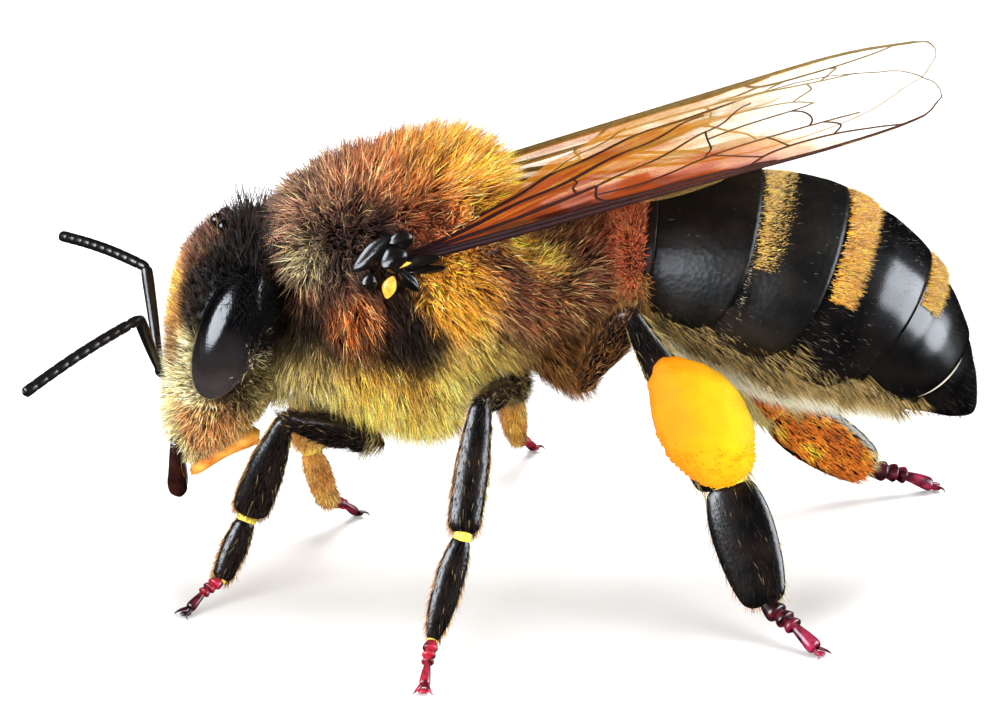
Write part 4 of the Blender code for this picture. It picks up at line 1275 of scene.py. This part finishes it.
def scatter(surface, count, density):
    """Roots spread evenly over a surface, thinned by the density at each place, and its normals there.
    The surface is what arrays_of returns."""
    places, normals, triangles = surface
    a, b, c = (places[triangles[:, k]] for k in range(3))
    area = np.linalg.norm(np.cross(b - a, c - a), axis=1) / 2
    weight = area * density((a + b + c) / 3)
    picks = rng.choice(len(triangles), count, p=weight / weight.sum())
    u, v = rng.random(count), rng.random(count)
    fold = u + v > 1
    u[fold], v[fold] = 1 - u[fold], 1 - v[fold]
    parts = [(1 - u - v)[:, None], u[:, None], v[:, None]]
    roots = sum(w * places[triangles[picks, k]] for k, w in enumerate(parts))
    lifted = sum(w * normals[triangles[picks, k]] for k, w in enumerate(parts))
    return roots, unit(lifted)


def smooth_step(low, high, value):
    """A smooth rise from 0 at the low value to 1 at the high one."""
    t = np.clip((value - low) / (high - low), 0, 1)
    return t * t * (3 - 2 * t)


def away_from(roots, centre, near, far):
    """0 within the near distance of a place and 1 beyond the far one."""
    return smooth_step(near, far, np.linalg.norm(roots - np.array(centre), axis=1))


def clumps_of(roots, size):
    """The number of the clump each root belongs to."""
    cell = np.floor((roots + 0.3 * size * rng.normal(size=roots.shape)) / size).astype(int)
    return np.unique(cell, axis=0, return_inverse=True)[1].reshape(-1)


def coloured(roots, dark_share, pale_share, pale_code):
    """Root and tip colours: the marking, with some hairs darker and some with pale tips."""
    count = len(roots)
    group, area = clumps_of(roots, 0.19), clumps_of(roots, 0.50)
    tone = np.exp(0.52 * rng.normal(size=group.max() + 1))[group]
    tone *= np.exp(0.30 * rng.normal(size=area.max() + 1))[area]
    colour = markings(roots)
    glow = np.clip(colour.mean(axis=1) / 0.14, 0.04, 1)[:, None]
    colour *= (tone * (0.75 + 0.5 * rng.random(count)))[:, None]
    draw = rng.random(count)
    dark = draw < dark_share
    pale = draw > 1 - pale_share
    colour[dark] *= 0.22
    # Painted glow: every tip is lighter than its root.
    tip = colour * 1.45
    tip[pale] = 0.40 * tip[pale] + 0.60 * (pigment(pale_code) * glow * tone[:, None])[pale]
    # Painted shade: the roots are darkened among the hairs, most under dark markings.
    return colour * (0.16 + 0.74 * glow), tip


def clumped(roots, lengths, ways, size, pull):
    """Ways turned towards the middle of the clump each hair belongs to."""
    group = clumps_of(roots, size)
    tips = roots + ways * lengths[:, None]
    count = np.bincount(group)
    middle = np.stack([np.bincount(group, tips[:, k]) / count for k in range(3)], axis=1)
    jitter = 0.10 * rng.normal(size=middle.shape)
    return unit(tips * (1 - pull) + (middle + jitter)[group] * pull - roots)


def off_eyes(roots):
    """1 where a place is clear of both eyes."""
    clear = np.ones(len(roots))
    for middle, axes, half in eyes.values():
        reach = np.linalg.norm(((roots - middle) @ axes) / (half * EYE_MARGIN), axis=1)
        clear *= smooth_step(0.97, 1.06, reach)
    return clear


def thorax_density(roots):
    """1 on the thorax and 0 beyond its ends and at the wings' hinges."""
    inside = smooth_step(NECK - 0.15, NECK + 0.05, roots[:, 0])
    inside *= 1 - smooth_step(THORAX_REAR - 0.1, THORAX_REAR + 0.2, roots[:, 0])
    for centre in hinges.values():
        inside *= away_from(roots, centre, 0.25, 0.45)
    return inside


THORAX_HAIRS = 60000
PIECE_HAIRS = 15000  # what one piece of the thorax coat holds
roots, lifted = scatter(skin_arrays, THORAX_HAIRS, thorax_density)
height = (roots[:, 2] - thorax_low.z / MM) / ((thorax_high.z - thorax_low.z) / MM)
length_share = (roots[:, 0] - NECK) / (THORAX_REAR - NECK)
# The coat is longest on the back and under the chest, and shortest at the wings.
lengths = 0.42 + 0.22 * smooth_step(0.55, 0.95, height) + 0.14 * (1 - smooth_step(0.05, 0.30, height))
lengths *= 0.70 + 0.5 * rng.random(THORAX_HAIRS)
for centre in hinges.values():
    lengths *= 0.5 + 0.5 * away_from(roots, centre, 0.5, 1.0)
for name in SIDES:
    wing = surface_of(name + "_forewing")
    gaps = np.array([wing.find_nearest(Vector(root))[3] for root in roots])
    lengths *= 0.30 + 0.70 * smooth_step(0.12, 0.50, gaps)
lengths *= 1 - 0.28 * (1 - smooth_step(0.05, 0.35, length_share)) * smooth_step(0.5, 0.9, height)
lengths *= 1 - 0.40 * smooth_step(0.80, 0.97, length_share) * smooth_step(0.5, 0.8, height)
# It leans back, down on the flanks, and forwards over the neck.
flow = np.stack([0.55 + 0 * height, 0 * height, -0.75 * (1 - smooth_step(0.55, 0.9, height))], axis=1)
flow[:, 0] -= 0.75 * (1 - smooth_step(0.1, 0.45, length_share)) * smooth_step(0.5, 0.9, height)
flow[:, 0] -= 1.1 * (1 - smooth_step(0.0, 0.15, length_share))
ways = unit(lifted + 0.75 * flow + 0.22 * rng.normal(size=lifted.shape))
ways = clumped(roots, lengths, ways, size=0.22, pull=0.62)
bends = 0.25 * (flow - lifted * 0.3) + 0.12 * rng.normal(size=lifted.shape)
base, tip = coloured(roots, dark_share=0.28, pale_share=0.17, pale_code="FFD48C")
radii = 0.0095 * (0.75 + 0.5 * rng.random(THORAX_HAIRS))
order = np.argsort(roots[:, 0])
for number in range(THORAX_HAIRS // PIECE_HAIRS):
    part = order[number * PIECE_HAIRS : (number + 1) * PIECE_HAIRS]
    strands(f"thorax_coat_{number + 1}", roots[part], ways[part], bends[part], lengths[part],
            radii[part], base[part], tip[part], body_unwrap(roots[part]), 2)


def head_density(roots):
    """1 on the head and 0 behind its neck and on the eyes."""
    return (1 - smooth_step(NECK - 0.15, NECK + 0.05, roots[:, 0])) * off_eyes(roots)


HEAD_HAIRS = 19000
head_low, head_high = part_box("head")
roots, lifted = scatter(skin_arrays, HEAD_HAIRS, head_density)
height = (roots[:, 2] - head_low.z / MM) / ((head_high.z - head_low.z) / MM)
ahead = 1 - (roots[:, 0] - FACE) / (NECK - FACE)
outward = np.abs(roots[:, 1] - MIDDLE) / ((head_high.y - head_low.y) / 2 / MM)
# The head's coat is short, longer on the crown and above the feelers, and shortest behind the eyes.
lengths = 0.17 + 0.24 * smooth_step(0.80, 0.97, height) + 0.07 * smooth_step(0.6, 0.95, ahead)
lengths += 0.13 * np.exp(-(((height - 0.78) / 0.11) ** 2)) * smooth_step(0.6, 0.95, ahead)
lengths *= 0.6 + 0.7 * rng.random(HEAD_HAIRS)
lengths *= 0.5 + 0.5 * smooth_step(0.02, 0.18, height)
lengths *= 1 - 0.5 * smooth_step(0.6, 1.0, outward) * (1 - smooth_step(0.1, 0.4, ahead))
flow = np.stack([-0.5 * smooth_step(0.7, 1.0, height), 0 * height, 0.7 * smooth_step(0.35, 0.6, height)
                 - 0.6 * (1 - smooth_step(0.15, 0.4, height))], axis=1)
ways = unit(lifted + 0.8 * flow + 0.22 * rng.normal(size=lifted.shape))
ways = clumped(roots, lengths, ways, size=0.11, pull=0.35)
bends = 0.2 * flow + 0.12 * rng.normal(size=lifted.shape)
base, tip = coloured(roots, dark_share=0.22, pale_share=0.20, pale_code="F2D698")
radii = 0.0080 * (0.75 + 0.5 * rng.random(HEAD_HAIRS))
strands("head_coat", roots, ways, bends, lengths, radii, base, tip, body_unwrap(roots), 2)


# Fine hairs grow between the facets: black along the top and the rear rim of each eye, and pale and
# dark mixed at its lower rear. Each row: how far back and up the patch lies on the eye, where its edge
# starts, hairs, lean, and the colours of root and tip.
EYE_HAIRS = {
    "hair": (0.80, 0.62, 0.52, 3500, (-0.10, 0, -0.50), "040404", "0E0C0B"),
    "fringe": (0.84, -0.54, 0.66, 1100, (-0.20, 0, 0.45), "8A7444", "F2E2B4"),
}
for name, side in SIDES.items():
    middle, axes, half = eyes[name]
    for kind, (back, up, edge, hairs, lean, root_code, tip_code) in EYE_HAIRS.items():
        ways = unit(rng.normal(size=(12 * hairs, 3)))
        rim = ways[:, 0] * back + ways[:, 2] * up + 0.12 * rng.normal(size=len(ways))
        rim = smooth_step(edge, edge + 0.38, rim)
        shown = (ways[:, 1] * side > -0.1) & (rng.random(len(ways)) < rim)
        ways = ways[shown][:hairs]
        count = len(ways)
        reach = 1 / np.sqrt((((ways @ axes) / half) ** 2).sum(axis=1))
        roots = middle + ways * (reach - 0.05)[:, None]
        ways = unit(0.35 * ways + lean + 0.15 * rng.normal(size=(count, 3)))
        tone = np.where(rng.random((count, 1)) < 0.45, 0.10, 1.0) if kind == "fringe" else 1.0
        base = np.tile(pigment(root_code), (count, 1)) * tone
        tip = np.tile(pigment(tip_code), (count, 1)) * tone
        strands(f"{name}_eye_{kind}", roots, ways, 0.1 * ways, 0.18 + 0.12 * rng.random(count),
                np.full(count, 0.0085), base, tip, body_unwrap(roots), 1)


# Long black bristles stand among the coat of the crown, behind the simple eyes.
SPIKES = 380


def crown_density(roots):
    """1 on the rear of the crown."""
    low, high = head_low / MM, head_high / MM
    back = smooth_step(low.x + 1.0, low.x + 1.3, roots[:, 0]) * (roots[:, 0] < NECK + 0.2)
    return back * smooth_step(high.z - 1.0, high.z - 0.6, roots[:, 2])


roots, lifted = scatter(skin_arrays, SPIKES, crown_density)
ways = unit(0.5 * lifted + [0.1, 0.0, 0.9] + 0.25 * rng.normal(size=lifted.shape))
lengths = 0.40 + 0.40 * rng.random(SPIKES)
bends = 0.15 * rng.normal(size=lifted.shape)
black, grey = np.tile(pigment("0A0808"), (SPIKES, 1)), np.tile(pigment("2A2422"), (SPIKES, 1))
strands("crown_bristles", roots, ways, bends, lengths, np.full(SPIKES, 0.012), black, grey,
        body_unwrap(roots), 2)


def waist_density(roots):
    """1 on the waist, between the thorax and the abdomen."""
    inside = smooth_step(THORAX_REAR - 0.1, THORAX_REAR + 0.2, roots[:, 0])
    return inside * (1 - smooth_step(WAIST - 0.2, WAIST, roots[:, 0]))


WAIST_HAIRS = 12000
roots, lifted = scatter(skin_arrays, WAIST_HAIRS, waist_density)
lengths = 0.34 * (0.6 + 0.6 * rng.random(WAIST_HAIRS))
lengths *= 1 + 0.8 * smooth_step(WAIST - 0.8, WAIST - 0.2, roots[:, 0])
flow = np.tile([0.5, 0.0, -0.1], (WAIST_HAIRS, 1))
ways = unit(lifted + 0.8 * flow + 0.22 * rng.normal(size=lifted.shape))
ways = clumped(roots, lengths, ways, size=0.14, pull=0.4)
bends = 0.2 * flow + 0.1 * rng.normal(size=lifted.shape)
base, tip = coloured(roots, dark_share=0.28, pale_share=0.18, pale_code="F4DC8A")
radii = 0.0105 * (0.8 + 0.4 * rng.random(WAIST_HAIRS))
strands("waist_coat", roots, ways, bends, lengths, radii, base, tip, body_unwrap(roots), 2)


def ring_hairs(name, count, s_range, reach, length, lean, colour_at, radius, segments=1, out=-0.03,
               ragged=0.0):
    """Hairs on the abdomen between two distances along it and two angles from its top, in degrees. The
    lean is how much they stand out and how much they lie back."""
    s = rng.uniform(*s_range, count) + ragged * rng.normal(size=count)
    angles = np.radians(rng.uniform(*reach, count)) * rng.choice([-1, 1], count)
    roots, lifted = np.empty((count, 3)), np.empty((count, 3))
    along = np.empty((count, 3))
    for n in range(count):
        roots[n], lifted[n] = ring_point(s[n], angles[n], out)
        along[n] = axis_at(s[n])[1]
    ways = unit(lifted * lean[0] + along * lean[1] + 0.18 * rng.normal(size=(count, 3)))
    lengths = length * (0.65 + 0.7 * rng.random(count))
    bends = 0.15 * along + 0.08 * rng.normal(size=(count, 3))
    base, tip = colour_at(roots)
    radii = radius * (0.8 + 0.4 * rng.random(count))
    strands(name, roots, ways, bends, lengths, radii, base, tip, body_unwrap(roots), segments)


def flat_colour(code, pale_code, pale_share, dark_share=0.1, root=0.65):
    """What gives a band its root and tip colours: one colour, with some hairs darker and some paler."""

    def colours(roots):
        count = len(roots)
        group = clumps_of(roots, 0.07)
        tone = np.exp(0.35 * rng.normal(size=group.max() + 1))[group][:, None]
        colour = pigment(code) * (0.7 + 0.6 * rng.random((count, 1))) * tone
        draw = rng.random(count)
        colour[draw < dark_share] *= 0.35
        # Painted glow: every tip is lighter than its root.
        tip = colour * 1.3
        pale = draw > 1 - pale_share
        tip[pale] = 0.4 * tip[pale] + 0.6 * pigment(pale_code)
        # The root share scales the roots: painted shade among the hairs below 1, painted light above it.
        return colour * root, tip

    return colours


# Felt bands: the plate, start and end along the abdomen, how far round from the top, hairs, colour.
FELT = {
    3: (2.02, 2.24, 68, 15000, "D0A040"),
    4: (2.82, 3.07, 72, 14000, "EC9E24"),
    5: (3.80, 3.98, 50, 5000, "DCA034"),
}
for number, (start, end, reach, count, code) in FELT.items():
    ring_hairs(f"felt_band_{number}", count, (start, end), (0, reach), 0.12, (0.55, 1.0),
               flat_colour(code, "FFE09A", 0.35, 0.15), 0.011, ragged=0.02)
ring_hairs("second_ring_rim", 2200, (1.94, 1.98), (25, 95), 0.08, (0.3, 1.0),
           flat_colour("C8B48E", "F4ECDC", 0.6), 0.007)
ring_hairs("first_ring_coat", 8000, (0.05, 0.72), (0, 96), 0.26, (1.0, 0.3),
           flat_colour("A84C2E", "E0985C", 0.3, 0.25), 0.010, 2)
ring_hairs("first_ring_side", 4000, (0.0, 0.9), (80, 165), 0.30, (1.0, 0.5),
           flat_colour("8A5C2C", "D0A860", 0.35, 0.25), 0.009, 2)
ring_hairs("ring_down", 3500, (1.1, 3.6), (0, 120), 0.11, (0.5, 1.0),
           flat_colour("3A2E25", "D8CCB0", 0.3, 0.3), 0.0045, 1, 0.0)
ring_hairs("tail_down", 500, (4.2, 5.9), (0, 150), 0.12, (0.5, 1.0),
           flat_colour("16110E", "6A5A44", 0.3, 0.3), 0.004, 1, 0.0)
ring_hairs("belly_coat", 8000, (0.4, 4.7), (132, 178), 0.30, (0.8, 1.0),
           flat_colour("FFECB8", "FFFFF4", 0.7, 0.04, 1.1), 0.0055, 1, -0.08)
ring_hairs("side_fuzz", 5200, (0.9, 4.6), (103, 142), 0.19, (0.8, 1.0),
           flat_colour("B89858", "F4DCA0", 0.5, 0.15, 0.9), 0.0045, 1, -0.04)
# Rows of pale combs stand along the rear edges of the side plates.
for number in (2, 3, 4):
    edge = PLATE_ENDS[number + 1]
    ring_hairs(f"side_comb_{number}", 150, (edge - 0.08, edge - 0.04), (96, 142), 0.26, (0.4, 1.0),
               flat_colour("8A7038", "D0B470", 0.5, 0.1), 0.006, 2, 0.0)

# ---- Leg hair -----------------------------------------------------------------------------------
# Short bristles lie along each leg, pale on the hips and thighs. Long curved hairs fringe the hind
# shin round the pollen, and a brush of golden combs covers the hind foot joint's inner face.
LEG_HAIRS = 8000
THIGH, SHIN, FOOT_JOINT = 1, 2, 3  # the numbers of these leg parts: the hip is 0
PART_LENGTHS = [0.26, 0.17, 0.13, 0.13]  # how long the hairs of each part are, from the hip down
PART_PALE = [0.30, 0.06, 0.05, 0.05]  # the share of them that is pale
# The colour of the brush on the inner faces of each pair's shin and first foot joint.
BRUSHES = {"fore": "F0A050", "mid": "D89440", "hind": "FF8420"}


def leg_unwrap(roots, joints):
    """Where each root lies on its leg's skin, unrolled round the line through its joints, the ways
    along and out from that line there, and the number of its leg part."""
    best = np.full(len(roots), 1e9)
    place = np.zeros((len(roots), 2))
    way = np.zeros((len(roots), 3))
    out = np.zeros((len(roots), 3))
    part = np.zeros(len(roots), int)
    for number in range(4):
        start, end = np.array(joints[number]), np.array(joints[number + 1])
        along = end - start
        t = np.clip(((roots - start) @ along) / (along @ along), 0, 1)
        gap = roots - (start + t[:, None] * along)
        near = np.linalg.norm(gap, axis=1) < best
        best[near] = np.linalg.norm(gap, axis=1)[near]
        x, y = [np.array(axis) for axis in facing(start, along, (0, 1, 0)).to_3x3().transposed()[:2]]
        angle = np.arctan2(gap @ x, gap @ y) / (2 * math.pi) + 0.5
        place[near] = np.stack([(number + t) / 4, angle], axis=1)[near]
        way[near] = along / np.linalg.norm(along)
        out[near] = gap[near]
        part[near] = number
    return place * (1 - 2 * PATCH), way, unit(out), part


for leg_name, joints in legs.items():
    side = SIDES[leg_name.split("_")[0]]
    leg_arrays = arrays_of(leg_shapes[leg_name])
    leg_shapes[leg_name].free()

    def leg_density(roots, joints=joints, side=side, leg_name=leg_name):
        _, _, out, part = leg_unwrap(roots, joints)
        brush = (part >= SHIN) & (out[:, 1] * side < -0.2)
        hip, thigh = (3.0, 2.4) if "hind" in leg_name else (1.0, 0.5)
        return np.choose(part, [hip, thigh, 0.5, 0.5]) * (1 + 7 * brush)

    roots, lifted = scatter(leg_arrays, LEG_HAIRS, leg_density)
    place, way, out, part = leg_unwrap(roots, joints)
    lengths = np.choose(part, PART_LENGTHS) * (0.6 + 0.8 * rng.random(LEG_HAIRS))
    across = np.abs(out[:, 1])
    edge = np.abs(lifted[:, 0]) > 0.8
    lengths[(part == THIGH) & edge] *= 1.6
    inner = (part >= SHIN) & (lifted[:, 1] * side < -0.2)
    fringe = (part == SHIN) & (across < 0.55)
    if "hind" in leg_name:
        lengths[fringe] *= 2.6
        lengths[(part == FOOT_JOINT) & edge] *= 1.7
    ways = unit(0.55 * lifted + way + 0.2 * rng.normal(size=lifted.shape))
    bends = 0.2 * way - 0.15 * lifted + 0.08 * rng.normal(size=lifted.shape)
    draw = rng.random((LEG_HAIRS, 1))
    dark, pale = pigment("241A14"), pigment("CDB178")
    pale_share = np.where(edge, 0.6, np.choose(part, PART_PALE))[:, None]
    # Each hair is painted darker at its root, as shade among the hairs, and lighter at its tip, as a painted
    # glow.
    base = np.where(draw < pale_share, pale * 0.55, dark)
    tip = np.where(draw < pale_share, pale, dark * 1.8)
    group = clumps_of(roots, 0.14)
    tone = np.exp(0.5 * rng.normal(size=group.max() + 1))[group][:, None]
    brush = pigment(BRUSHES[leg_name.split("_")[1]]) * tone
    base[inner], tip[inner] = (brush * 0.7)[inner], (brush * 1.3)[inner]
    if "mid" in leg_name:
        # A painted highlight: pale hairs along the front-facing edge of each mid shin and foot joint.
        shin_highlight = (part >= SHIN) & (lifted[:, 0] < -0.6)
        base[shin_highlight], tip[shin_highlight] = pigment("B07A50"), pigment("F4DCC0")
    if "hind" in leg_name:
        upper = (part <= THIGH) & (draw[:, 0] < 0.75)
        tan = pigment("8E5E2E") * tone
        base[upper], tip[upper] = (tan * 0.6)[upper], (tan * 1.7)[upper]
        comb = (part == FOOT_JOINT) & (lifted[:, 0] > 0.45)
        base[comb], tip[comb] = pale * 0.8, pigment("F6E0AC")
        base[fringe], tip[fringe] = pale * 0.7, pigment("E3D27A")
    radii = np.where(inner, 0.009, 0.0042) * (0.8 + 0.5 * rng.random(LEG_HAIRS))
    strands(leg_name + "_leg_hair", roots, ways, bends, lengths, radii, base, tip, place, 1)

# ---- Size and last line
low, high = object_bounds()
{"cad": [list(cad_low), list(cad_high)], "visual": [list(low), list(high)]}
